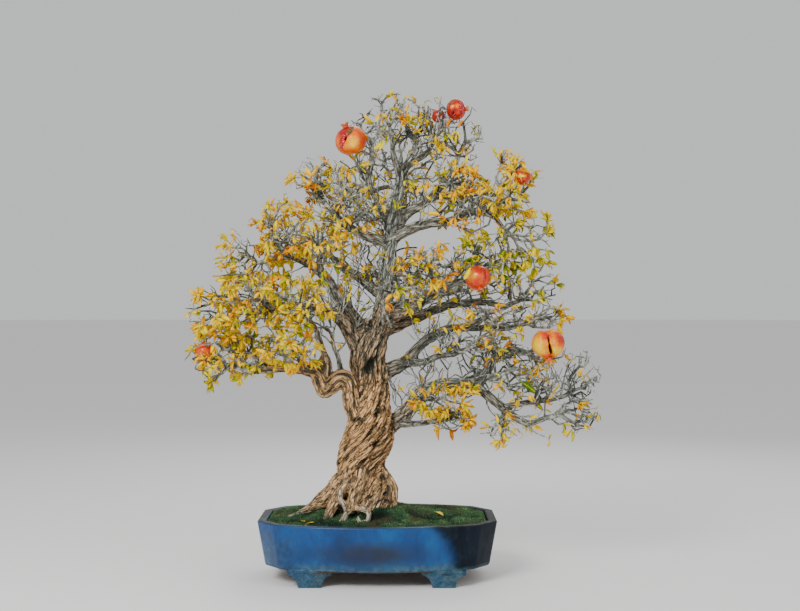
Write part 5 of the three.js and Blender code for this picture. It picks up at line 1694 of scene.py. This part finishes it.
def fruitSkin(name, radius, turn, chance):
    # the skin round the origin, with its marks and colour as attributes
    bm = bmesh.new()
    coarser = 1 if radius > fruitShape["small"] else 2
    sides, rows = (fruitShape[key] // coarser for key in ("sides", "rows"))
    bmesh.ops.create_uvsphere(bm, u_segments=sides, v_segments=rows, radius=1)
    mesh = meshOf(bm, "skin")
    local = placesOf(mesh)
    world = local @ np.array(turn).T
    swell, found = cutMarks(name, world, swelling(local, world, chance))
    body = local * swell[:, None] * radius
    body[:, 2] *= fruitShape["flatness"]
    setPlaces(mesh, body @ np.array(turn).T)
    setAttribute(mesh, "split", found["split"])
    setAttribute(mesh, "scar", found["scar"])
    setAttribute(mesh, "redness", rednessAt(name, world))
    setAttribute(mesh, "dried", np.zeros(len(world)))
    return mesh


def addCrown(bm, chance):
    # the dried crown and its stamens, for a fruit of radius one
    first = len(bm.verts)
    bm.from_mesh(meshOf(turnedBody(crownProfile, crown["sides"], crownPlace), "crown"))
    top = fruitShape["flatness"]
    stamens = []
    for stamen in range(crown["stamens"]):
        angle = chance.uniform(0, 2 * math.pi)
        reach = crown["stamenReach"] * math.sqrt(chance.random())
        start = Vector((math.cos(angle) * reach, math.sin(angle) * reach, top))
        lean = start * crown["stamenLean"]
        lean.z = chance.uniform(*crown["stamenLength"])
        knob = crown["stamenRadius"] * crown["stamenKnob"]
        stamens.append([(start, crown["stamenRadius"]), (start + lean, knob)])
    bm.from_mesh(strandMesh(stamens, 0))
    bm.verts.ensure_lookup_table()
    dried, redness = (bm.verts.layers.float[key] for key in ("dried", "redness"))
    added = bm.verts[first:]
    for vert in added:
        vert[dried] = min(crown["dried"], max(0, (vert.co.z - top - crown["driedFrom"]) / crown["driedOver"]))
        vert[redness] = crown["redness"]
    return added


def seedPlaces(name, radius, chance):
    places = []
    for kind, route, halfWidth, depth, seeds in skinMarks.get(name, []):
        steps = markSteps(route)
        for seed in range(seeds):
            way, opening = steps[round(len(steps) * chance.uniform(*seedShape["along"]))]
            aside = randomOffset(chance) * halfWidth * opening * seedShape["aside"]
            deep = depth * chance.uniform(*seedShape["depth"])
            places.append((way + aside).normalized() * radius * (1 - deep))
    return places


def addSeed(bm, spot, radius, chance):
    size = radius * chance.uniform(*seedShape["radius"])
    verts = bmesh.ops.create_icosphere(bm, subdivisions=2, radius=size)["verts"]
    bmesh.ops.scale(bm, vec=(1, 1, chance.uniform(*seedShape["length"])), verts=verts)
    bmesh.ops.transform(bm, matrix=Matrix.Translation(spot), verts=verts)
    for face in {face for vert in verts for face in vert.link_faces}:
        face.material_index = 1


def makeFruit(index, spec, materials):
    name, centre, radius, crownWay, limb, along = spec
    chance = random.Random(fruitShape["seed"] + index)
    turn = Vector((0, 0, 1)).rotation_difference(Vector(crownWay)).to_matrix()
    skin = fruitSkin(name, radius, turn, chance)
    bm = bmesh.new()
    bm.from_mesh(skin)
    bpy.data.meshes.remove(skin)
    place = turn.to_4x4() @ Matrix.Scale(radius, 4)
    bmesh.ops.transform(bm, matrix=place, verts=addCrown(bm, chance))
    for spot in seedPlaces(name, radius, chance):
        addSeed(bm, spot, radius, chance)
    bmesh.ops.translate(bm, vec=potMiddle + Vector(centre), verts=bm.verts)
    bmesh.ops.recalc_face_normals(bm, faces=bm.faces)
    finishPiece("fruit_skin_" + name, meshOf(bm, name), materials, ["fruit_" + name])


def ripeColour(nodes, place, mottle, patches):
    # from yellow to dark crimson, with specks and russet patches
    tone = reckon(nodes, "ADD", attribute(nodes, "redness"), grade(nodes, mottle, 0.3, 0.7, -0.06, 0.06))
    colour = ramp(nodes, tone, [
        (0.0, (0.92, 0.62, 0.01)), (0.25, (0.88, 0.36, 0.0)), (0.48, (0.8, 0.16, 0.0)),
        (0.7, (0.6, 0.036, 0.0)), (0.88, (0.4, 0.01, 0.002)), (1.0, (0.22, 0.003, 0.003)),
    ])
    specks = grade(nodes, grainNoise(nodes, place, 520, 2), 0.64, 0.7)
    colour = blendColour(nodes, reckon(nodes, "MULTIPLY", specks, 0.55), colour, (0.32, 0.1, 0.02))
    return blendColour(nodes, grade(nodes, patches, 0.62, 0.78, 0, 0.5), colour, (0.42, 0.16, 0.03))


def makeSkinMaterial():
    material, nodes, shader = newMaterial("pomegranateSkin", 0.3, 0.25)
    shader.inputs["Coat Weight"].default_value = 0.25
    shader.inputs["Coat Roughness"].default_value = 0.18
    place = objectPlace(nodes)
    mottle = grainNoise(nodes, place, 260, 4)
    patches = grainNoise(nodes, place, 70, 3)
    colour = ripeColour(nodes, place, mottle, patches)
    marked = {
        "scar": (mottle, [(0.3, (0.05, 0.03, 0.008)), (0.6, (0.2, 0.13, 0.03)), (0.8, (0.36, 0.2, 0.06))]),
        # painted shade: the inside of each open split is coloured near-black to dark brown
        "split": (patches, [
            (0.35, (0.015, 0.003, 0.003)), (0.55, (0.07, 0.012, 0.008)), (0.75, (0.2, 0.07, 0.025)),
        ]),
        "dried": (mottle, [(0.3, (0.42, 0.2, 0.06)), (0.7, (0.75, 0.55, 0.28))]),
    }
    for mark, (grain, stops) in marked.items():
        colour = blendColour(nodes, attribute(nodes, mark), colour, ramp(nodes, grain, stops))
    nodes.links.new(colour, shader.inputs["Base Color"])
    worn = reckon(nodes, "MAXIMUM", attribute(nodes, "scar"), attribute(nodes, "dried"))
    rough = reckon(nodes, "MAXIMUM", worn, grade(nodes, mottle, 0.3, 0.8, 0, 0.25))
    roughen(nodes, shader, rough, 0.26, 0.75)
    relief(nodes, shader, mottle, 0.0005, 0.35)
    return material


def makeSeedMaterial():
    material, nodes, shader = newMaterial("juicySeed", 0.12, 0.5)
    shader.inputs["Coat Weight"].default_value = 0.5
    colour = ramp(nodes, grainNoise(nodes, objectPlace(nodes), 240, 2), [
        (0.3, (0.2, 0.004, 0.008)), (0.6, (0.55, 0.016, 0.02)), (0.8, (0.75, 0.11, 0.08)),
    ])
    nodes.links.new(colour, shader.inputs["Base Color"])
    return material


def makeFruits():
    materials = [makeSkinMaterial(), makeSeedMaterial()]
    for index, spec in enumerate(fruits):
        makeFruit(index, spec, materials)


# Pot: the same rings as the solid has, with rounder edges, on four scrolled feet.

pot = {
    "halfLength": 0.190,
    "shortSide": 0.058,
    "cornerX": 0.160,
    "cornerY": 0.100,
    "bow": 0.034,
    "bowSteps": 24,
    "height": 0.097,
    "taper": 0.011,
    "wall": 0.014,
    "base": 0.025,
    "floor": 0.012,
    "lip": 0.0025,
    "edgeRound": 0.007,
    "cornerRound": 0.004,
    "drainRadius": 0.011,
    "drainX": 0.080,
    "drainSides": 40,
    "roundSteps": 6,
    "lipSteps": 4,
    "wallSteps": 4,
    "bevelAngle": 30,
    "bevelSteps": 3,
    "soilTop": 0.09,
    "slack": 0.001,  # for telling the faces inside and under the pot
    "downward": -0.6,  # how far down a normal points under the pot
}

foot = {
    "depth": 0.032,
    "halfTop": 0.035,
    "halfSole": 0.018,
    "step": 0.005,
    "curl": 0.002,
    "drop": 0.003,
    "curlSteps": 10,
    "sunk": 0.003,
    "x": 0.104,
    "frontY": 0.107,
    "soften": 0.0016,
}


def potOutline(inset):
    # the rim seen from above, counter-clockwise, moved in by an even distance
    side = []
    for step in range(pot["bowSteps"] + 1):
        x = pot["cornerX"] * (1 - 2 * step / pot["bowSteps"])
        side.append((x, pot["cornerY"] + pot["bow"] * (1 - (x / pot["cornerX"]) ** 2)))
    ends = [(pot["halfLength"], -pot["shortSide"]), (pot["halfLength"], pot["shortSide"])]
    half = ends + side
    points = [Vector(spot) for spot in half + [(-x, -y) for x, y in half]]
    moved = []
    for index, point in enumerate(points):
        inward = (point - points[index - 1]).normalized()
        onward = (points[(index + 1) % len(points)] - point).normalized()
        lean = Vector((-inward.y - onward.y, inward.x + onward.x))
        moved.append(point + lean * inset / (1 + inward.dot(onward)))
    return moved


def wallInset(z):
    rim = pot["height"] - pot["lip"]
    low = pot["base"] + pot["floor"]
    return pot["wall"] + pot["taper"] * (rim - z) / (rim - low)


def roundedRings():
    # insets and heights from the rounded bottom edge, over the soft lip, down to the floor inside
    rings = []
    for step in range(pot["roundSteps"] + 1):
        angle = math.pi / 2 * step / pot["roundSteps"]
        inset = pot["taper"] + pot["edgeRound"] * (1 - math.sin(angle))
        rings.append((inset, pot["base"] + pot["edgeRound"] * (1 - math.cos(angle))))
    rim = pot["height"] - pot["lip"]
    for side, middle in ((-1, pot["lip"]), (1, pot["wall"] - pot["lip"])):
        for step in range(pot["lipSteps"] + 1):
            share = step / pot["lipSteps"]
            angle = math.pi / 2 * (share if side < 0 else 1 - share)
            rings.append((middle + side * pot["lip"] * math.cos(angle), rim + pot["lip"] * math.sin(angle)))
    low = pot["base"] + pot["floor"]
    for step in range(1, pot["wallSteps"] + 1):
        z = rim + (low - rim) * step / pot["wallSteps"]
        rings.append((wallInset(z), z))
    return rings


def beveled(bm, name, width):
    settings = {
        "limit_method": "ANGLE",
        "angle_limit": math.radians(pot["bevelAngle"]),
        "segments": pot["bevelSteps"],
        "width": width,
    }
    return applied(meshOf(bm, name), ("BEVEL", settings))


def makeShell():
    rings = [[(*spot, z) for spot in potOutline(inset)] for inset, z in roundedRings()]
    return beveled(ringBody(rings), "shell", pot["cornerRound"])


def curveThrough(start, bend, end, steps):
    shares = [step / steps for step in range(steps + 1)]
    return [start.lerp(bend, share).lerp(bend.lerp(end, share), share) for share in shares]


def addFoot(bm, x, y):
    shoulder = pot["base"] - foot["step"]
    bend = Vector((foot["halfSole"] + foot["curl"], shoulder - foot["drop"]))
    low = Vector((foot["halfSole"], 0))
    side = curveThrough(low, bend, Vector((foot["halfTop"], shoulder)), foot["curlSteps"])
    side.append(Vector((foot["halfTop"], pot["base"] + foot["sunk"])))
    profile = side + [Vector((-spot.x, spot.y)) for spot in reversed(side)]
    face = bm.faces.new([bm.verts.new((x + spot.x, y, spot.y)) for spot in profile])
    pushed = bmesh.ops.extrude_face_region(bm, geom=[face])["geom"]
    verts = [part for part in pushed if isinstance(part, bmesh.types.BMVert)]
    bmesh.ops.translate(bm, vec=(0, foot["depth"], 0), verts=verts)


def makeFeet():
    bm = bmesh.new()
    for x in (-foot["x"], foot["x"]):
        addFoot(bm, x, -foot["frontY"])
        addFoot(bm, x, foot["frontY"] - foot["depth"])
    bmesh.ops.recalc_face_normals(bm, faces=bm.faces)
    return linked("feet", beveled(bm, "feet", foot["soften"]))


def makeDrains():
    bm = bmesh.new()
    radius = pot["drainRadius"]
    size = {"radius1": radius, "radius2": radius, "depth": 4 * pot["floor"]}
    for x in (-pot["drainX"], pot["drainX"]):
        move = Matrix.Translation((x, 0, pot["base"]))
        bmesh.ops.create_cone(bm, cap_ends=True, segments=pot["drainSides"], matrix=move, **size)
    return linked("drains", meshOf(bm, "drains"))


def bareClay(mesh):
    # the underside with the soles, and the inside as far up as the soil reaches
    places = placesOf(mesh) - np.array(potMiddle)
    slack = pot["slack"]
    heights = places[:, 2]
    under = (heights < pot["base"] + slack) & (normalsOf(mesh)[:, 2] < pot["downward"])
    bowed = pot["cornerY"] + pot["bow"] * (1 - (places[:, 0] / pot["cornerX"]) ** 2)
    length = np.abs(places[:, 0]) < pot["halfLength"] - pot["wall"] - slack
    width = np.abs(places[:, 1]) < bowed - pot["wall"] - slack
    height = (heights > pot["base"] + pot["floor"] - slack) & (heights < pot["soilTop"])
    return under | (length & width & height)


def makePot():
    shell = makeShell()
    feet = makeFeet()
    drains = makeDrains()
    mesh = applied(
        shell,
        ("BOOLEAN", {"operation": "UNION", "object": feet, "solver": "EXACT"}),
        ("BOOLEAN", {"operation": "DIFFERENCE", "object": drains, "solver": "EXACT"}),
        ("WEIGHTED_NORMAL", {"keep_sharp": True}),
    )
    bpy.data.objects.remove(feet)
    bpy.data.objects.remove(drains)
    setPlaces(mesh, placesOf(mesh) + np.array(potMiddle))
    setAttribute(mesh, "bareClay", bareClay(mesh))
    finishPiece("glazedPot", mesh, [makeGlazeMaterial()], ["pot"])


def glazeColour(nodes, place, runs, cloud, x, z):
    # deep blue in runs, thinner and more teal low down and towards the left end
    fine = grade(nodes, runs, 0.25, 0.75, 0, 0.6)
    tone = reckon(nodes, "ADD", fine, grade(nodes, cloud, 0.25, 0.75, 0, 0.4))
    colour = ramp(nodes, tone, [
        (0.0, (0.001, 0.012, 0.045)), (0.3, (0.001, 0.034, 0.135)),
        (0.6, (0.001, 0.055, 0.2)), (1.0, (0.004, 0.1, 0.27)),
    ])
    teal = ramp(nodes, runs, [(0.3, (0.007, 0.03, 0.05)), (0.7, (0.03, 0.11, 0.155))])
    mottle = grade(nodes, grainNoise(nodes, place, 110, 4), 0.42, 0.62, 0, 0.6)
    teal = blendColour(nodes, mottle, teal, (0.09, 0.16, 0.17))
    low = grade(nodes, z, 0.046, 0.026, 0, 0.9)
    leftEnd = grade(nodes, x, -0.105, -0.165, 0, 0.55)
    thin = reckon(nodes, "MAXIMUM", low, reckon(nodes, "MULTIPLY", leftEnd, grade(nodes, z, 0.095, 0.04)))
    thin = reckon(nodes, "MULTIPLY", thin, grade(nodes, cloud, 0.3, 0.55, 0.4, 1))
    return blendColour(nodes, thin, colour, teal)


def smokeBand(nodes, runs):
    # a smoky band low on the front
    away = objectPlace(nodes, potMiddle + Vector((-0.012, -0.125, 0.055)), (9, 8, 42))
    length = addNode(nodes, "ShaderNodeVectorMath", {"operation": "LENGTH"}, None, {0: away})
    smoke = grade(nodes, length.outputs["Value"], 1.2, 0.2)
    smoke = reckon(nodes, "MULTIPLY", smoke, grade(nodes, runs, 0.25, 0.6, 0.3, 1))
    return reckon(nodes, "MULTIPLY", smoke, 0.85)


def charcoalEnd(nodes, cloud, x, z):
    # the right end, past an edge that bows in towards the rim
    lift = reckon(nodes, "DIVIDE", reckon(nodes, "SUBTRACT", z, 0.03), 0.065)
    bend = reckon(nodes, "MULTIPLY", reckon(nodes, "POWER", lift, 2.4), 0.035)
    sway = {"operation": "MULTIPLY_ADD"}
    wander = addNode(nodes, "ShaderNodeMath", sway, {1: 0.07, 2: -0.035}, {0: cloud}).outputs[0]
    past = reckon(nodes, "ADD", reckon(nodes, "ADD", x, bend, False), wander, False)
    return reckon(nodes, "MULTIPLY", grade(nodes, past, 0.111, 0.141), grade(nodes, z, 0.024, 0.034))


def rimColour(nodes, place, charcoal, y):
    # worn dark and grey, but still blue along the front
    rim = ramp(nodes, grainNoise(nodes, place, 60, 5), [
        (0.3, (0.007, 0.01, 0.009)), (0.55, (0.022, 0.028, 0.024)), (0.75, (0.07, 0.09, 0.08)),
    ])
    lip = reckon(nodes, "MULTIPLY", grade(nodes, y, -0.09, -0.108), grade(nodes, charcoal, 1, 0))
    return blendColour(nodes, reckon(nodes, "MULTIPLY", lip, 0.7), rim, (0.012, 0.05, 0.13))


def makeGlazeMaterial():
    material, nodes, shader = newMaterial("blueGlaze", 0.3)
    shader.inputs["Coat Roughness"].default_value = 0.15
    place = objectPlace(nodes, potMiddle)
    x, y, z = addNode(nodes, "ShaderNodeSeparateXYZ", None, None, {"Vector": place}).outputs
    runs = grainNoise(nodes, objectPlace(nodes, potMiddle, (1, 1, 0.6)), 24, 5, 0.65, 0.4)
    cloud = grainNoise(nodes, place, 9, 4, 0.6)
    grit = grainNoise(nodes, place, 240, 3)
    bare = attribute(nodes, "bareClay")
    charcoal = charcoalEnd(nodes, cloud, x, z)
    worn = grade(nodes, z, 0.0945, 0.0965)

    colour = glazeColour(nodes, place, runs, cloud, x, z)
    colour = blendColour(nodes, smokeBand(nodes, runs), colour, (0.016, 0.014, 0.013))
    smoky = ramp(nodes, runs, [(0.3, (0.004, 0.005, 0.0045)), (0.7, (0.013, 0.0145, 0.0125))])
    colour = blendColour(nodes, reckon(nodes, "MULTIPLY", charcoal, 0.94), colour, smoky)
    flecks = grade(nodes, grainNoise(nodes, place, 75, 4), 0.55, 0.68)
    flecks = reckon(nodes, "MULTIPLY", flecks, grade(nodes, x, -0.13, -0.17, 0.25, 0.9))
    colour = blendColour(nodes, flecks, colour, (0.02, 0.035, 0.06))
    rim = rimColour(nodes, place, charcoal, y)
    colour = blendColour(nodes, reckon(nodes, "MULTIPLY", worn, 0.9), colour, rim)
    clay = ramp(nodes, grit, [(0.3, (0.09, 0.055, 0.035)), (0.7, (0.17, 0.11, 0.075))])
    nodes.links.new(blendColour(nodes, bare, colour, clay), shader.inputs["Base Color"])

    nodes.links.new(grade(nodes, charcoal, 0, 1, 0.14, 0), shader.inputs["Coat Weight"])
    nodes.links.new(grade(nodes, charcoal, 0, 1, 0.25, 0.07), shader.inputs["Specular IOR Level"])
    rough = reckon(nodes, "MAXIMUM", bare, reckon(nodes, "MULTIPLY", worn, 0.5))
    rough = reckon(nodes, "MAXIMUM", rough, grade(nodes, runs, 0.3, 0.7, 0.35, 0))
    roughen(nodes, shader, rough, 0.22, 0.85)
    under = relief(nodes, shader, runs, 0.0012, 0.45)
    under = relief(nodes, shader, grit, 0.0003, 0.35, under)
    pits = reckon(nodes, "MULTIPLY", grainNoise(nodes, place, 120, 5, 0.6), grade(nodes, z, 0.03, 0.024))
    relief(nodes, shader, pits, 0.012, 1.0, under)
    return material


# Moss and soil

moss = {
    "low": 0.0863,
    "edge": 0.095,
    "peak": 0.115,
    "gap": 0.0003,  # from the pot's wall
    "centre": Vector((-0.022, 0)),
    "bareSpot": Vector((0.002, -0.078)),
    "bareReach": 0.014,
    "domeShare": 0.87,
    "rings": 54,
    "side": 0.006,
    "shoulder": (1.0, 1.0, 0.985, 0.965),  # shares of the way out for the rings at the edge
    "edgeDrop": 0.0016,
    "cushion": 0.019,
    "cushionRise": 0.006,
    "cushionTop": 0.75,
    "cushionRoundness": 1.5,
    "fade": (0.93, 1.0),  # shares of the way out over which the cushions go flat
    "roll": (30, 0.0022),  # how often in a metre, and how high
    "ripple": (260, 0.0006),
    "tone": 0.22,
    "cushionShading": 95,  # painted light and shade on the cushions: brighter by so much for each metre up
    "bareTone": 0.5,
    "groundTone": 0.5,  # the ground's share of its tufts' tone
    "tuftSeed": 77,
    "tufts": 15000,
    "tuftRing": (0.02, 0.985),
    "tuftSunk": 0.15,
    "tuftSides": 3,
    "tuftHeight": (0.002, 0.0044),
    "tuftWidth": 0.0011,
    "tuftTones": 0.14,
    "lean": 0.45,
    "trunkRadius": 0.04,
}

# Heaps in the moss: x, y, rise and reach.
heaps = [(0.014, -0.06, 0.009, 0.03), (-0.076, -0.082, 0.0035, 0.026), (-0.094, -0.022, 0.008, 0.024)]

fallen = {
    "seed": 5,
    "leaves": [  # x, y and turn
        (-0.112, -0.09, 0.3), (-0.098, -0.088, 2.1), (0.09, -0.035, 4.0), (0.03, 0.07, 1.0),
        (-0.13, 0.03, 5.2),
    ],
    "length": (0.017, 0.021),
    "rise": 0.0035,
    "tone": 0.47,
}


def moundZ(share):
    rise = 0.5 + 0.5 * math.cos(math.pi * min(share / moss["domeShare"], 1))
    return moss["edge"] + (moss["peak"] - moss["edge"]) * rise


def cushionAt(spot):
    # rounded cushions of different sizes
    near = noise.voronoi(Vector((spot.x, spot.y, 0)) / moss["cushion"])[0][0]
    often, high = moss["roll"]
    broad = high * noise.noise(Vector((spot.x * often, spot.y * often, 4)))
    often, high = moss["ripple"]
    fine = high * noise.noise(Vector((spot.x * often, spot.y * often, 9)))
    return moss["cushionRise"] * (moss["cushionTop"] - near ** moss["cushionRoundness"]) + broad + fine


def mossPlace(outline, share, side, part=0):
    spot = moss["centre"].lerp(outline[side].lerp(outline[(side + 1) % len(outline)], part), share)
    fade = float(1 - smoothStep(share, *moss["fade"]))
    height = moundZ(share) + cushionAt(spot) * fade
    for x, y, rise, reach in heaps:
        height += rise * math.exp(-(spot - Vector((x, y))).length_squared / reach ** 2) * fade
    return Vector((*spot, height))


def mossToneAndShade(spot):
    # painted light and shade: the tops of the cushions are brighter and the dips between them darker, and a
    # bare spot is darker
    bare = math.exp(-(spot - moss["bareSpot"]).length_squared / moss["bareReach"] ** 2)
    return moss["tone"] + moss["cushionShading"] * cushionAt(spot) - moss["bareTone"] * bare


def mossOutline():
    # where the moss meets the pot's wall, in even steps
    corners = potOutline(wallInset(moss["low"]) + moss["gap"])
    outline = []
    for index, corner in enumerate(corners):
        after = corners[(index + 1) % len(corners)]
        steps = max(1, round((after - corner).length / moss["side"]))
        outline += [corner.lerp(after, step / steps) for step in range(steps)]
    return outline


def mossGround(outline):
    # rings from the edge in to the middle, the first two straight down the side
    inner = moss["shoulder"][-1]
    shares = list(moss["shoulder"]) + [inner * (1 - ring / moss["rings"]) for ring in range(1, moss["rings"])]
    rings = [[mossPlace(outline, share, side) for side in range(len(outline))] for share in shares]
    for ring, height in zip(rings, (moss["low"], moss["edge"] - moss["edgeDrop"])):
        for place in ring:
            place.z = height
    bm = ringBody([[potMiddle + place for place in ring] for ring in rings])
    tones = bm.verts.layers.float.new("tone")
    for vert in bm.verts:
        vert[tones] = moss["groundTone"] * mossToneAndShade(vert.co.xy - potMiddle.xy)
    return meshOf(bm, "ground")


def tuftCopies(outline):
    chance = random.Random(moss["tuftSeed"])
    copies = []
    for tuft in range(moss["tufts"]):
        share = math.sqrt(chance.uniform(*moss["tuftRing"]))
        place = mossPlace(outline, share, chance.randrange(len(outline)), chance.random())
        if (place.xy - moss["centre"]).length < moss["trunkRadius"]:
            continue
        turn = Matrix.Rotation(chance.uniform(0, 2 * math.pi), 4, "Z")
        for axis in "XY":
            turn = turn @ Matrix.Rotation(chance.gauss(0, moss["lean"]), 4, axis)
        size = Matrix.Diagonal((moss["tuftWidth"], moss["tuftWidth"], chance.uniform(*moss["tuftHeight"]), 1))
        tone = min(max(mossToneAndShade(place.xy) + chance.gauss(0, moss["tuftTones"]), 0), 1)
        copies.append((0, Matrix.Translation(potMiddle + place) @ turn @ size, tone))
    return copies


def fallenCopies(outline):
    chance = random.Random(fallen["seed"])
    ways = [(corner - moss["centre"]).normalized() for corner in outline]
    copies = []
    for x, y, turn in fallen["leaves"]:
        spot = Vector((x, y)) - moss["centre"]
        way = spot.normalized()
        side = max(range(len(outline)), key=lambda row: ways[row].dot(way))
        share = spot.length / (outline[side] - moss["centre"]).length
        place = potMiddle + mossPlace(outline, share, side) + Vector((0, 0, fallen["rise"]))
        size = Matrix.Scale(chance.uniform(*fallen["length"]), 4)
        copies.append((1, Matrix.Translation(place) @ Matrix.Rotation(turn, 4, "Z") @ size, fallen["tone"]))
    return copies


def makeMoss():
    outline = mossOutline()
    ground = mossGround(outline)
    blade = bmesh.new()
    bmesh.ops.create_cone(blade, cap_ends=True, segments=moss["tuftSides"], radius1=1, radius2=0, depth=1)
    bmesh.ops.translate(blade, vec=(0, 0, 0.5 - moss["tuftSunk"]), verts=blade.verts)
    templates = [meshOf(blade, "blade"), leafTemplate(0.3, 0.3, 0.2, 0.3)]
    bm = scattered(templates, tuftCopies(outline) + fallenCopies(outline))
    bm.from_mesh(ground)
    materials = [makeMossMaterial(), bpy.data.materials["autumnLeaf"]]
    finishPiece("mossCarpet", meshOf(bm, "moss"), materials, ["moss"])


def makeMossMaterial():
    material, nodes, shader = newMaterial("cushionMoss", 0.9)
    place = objectPlace(nodes, potMiddle)
    broad = grainNoise(nodes, place, 24, 4)
    fine = grainNoise(nodes, place, 400, 3)
    tone = reckon(nodes, "MULTIPLY", attribute(nodes, "tone"), 0.75)
    tone = reckon(nodes, "ADD", tone, grade(nodes, fine, 0.3, 0.7, 0, 0.14))
    tone = reckon(nodes, "ADD", tone, grade(nodes, broad, 0.35, 0.65, 0, 0.25))
    colour = ramp(nodes, tone, [
        (0.0, (0.002, 0.005, 0.003)), (0.25, (0.01, 0.026, 0.013)), (0.45, (0.03, 0.078, 0.033)),
        (0.7, (0.078, 0.162, 0.06)), (1.0, (0.21, 0.3, 0.12)),
    ])
    patches = grainNoise(nodes, objectPlace(nodes, potMiddle - Vector((0.3, 0, 0))), 26, 5)
    brown = ramp(nodes, fine, [(0.3, (0.026, 0.022, 0.012)), (0.7, (0.11, 0.092, 0.048))])
    colour = blendColour(nodes, grade(nodes, patches, 0.5, 0.64, 0, 0.8), colour, brown)
    nodes.links.new(colour, shader.inputs["Base Color"])
    relief(nodes, shader, fine, 0.001, 0.8)
    return material


def dressSoil():
    material, nodes, shader = newMaterial("gritSoil", 0.95)
    place = objectPlace(nodes, potMiddle)
    crumbs = addNode(nodes, "ShaderNodeTexVoronoi", None, {"Scale": 320}, {"Vector": place})
    crumbs = crumbs.outputs["Distance"]
    tone = grade(nodes, grainNoise(nodes, place, 60, 4), 0.3, 0.7, 0, 0.6)
    tone = reckon(nodes, "ADD", tone, reckon(nodes, "MULTIPLY", crumbs, 0.5))
    colour = ramp(nodes, tone, [
        (0.0, (0.012, 0.009, 0.006)), (0.5, (0.06, 0.04, 0.025)), (1.0, (0.2, 0.15, 0.1)),
    ])
    nodes.links.new(colour, shader.inputs["Base Color"])
    relief(nodes, shader, crumbs, 0.0015, 1.0)
    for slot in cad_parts["soil"].material_slots:
        slot.material = material
    print("soil: grit")


makeStudio()
makeTree()
makeSprays()
makeFruits()
makePot()
makeMoss()
dressSoil()
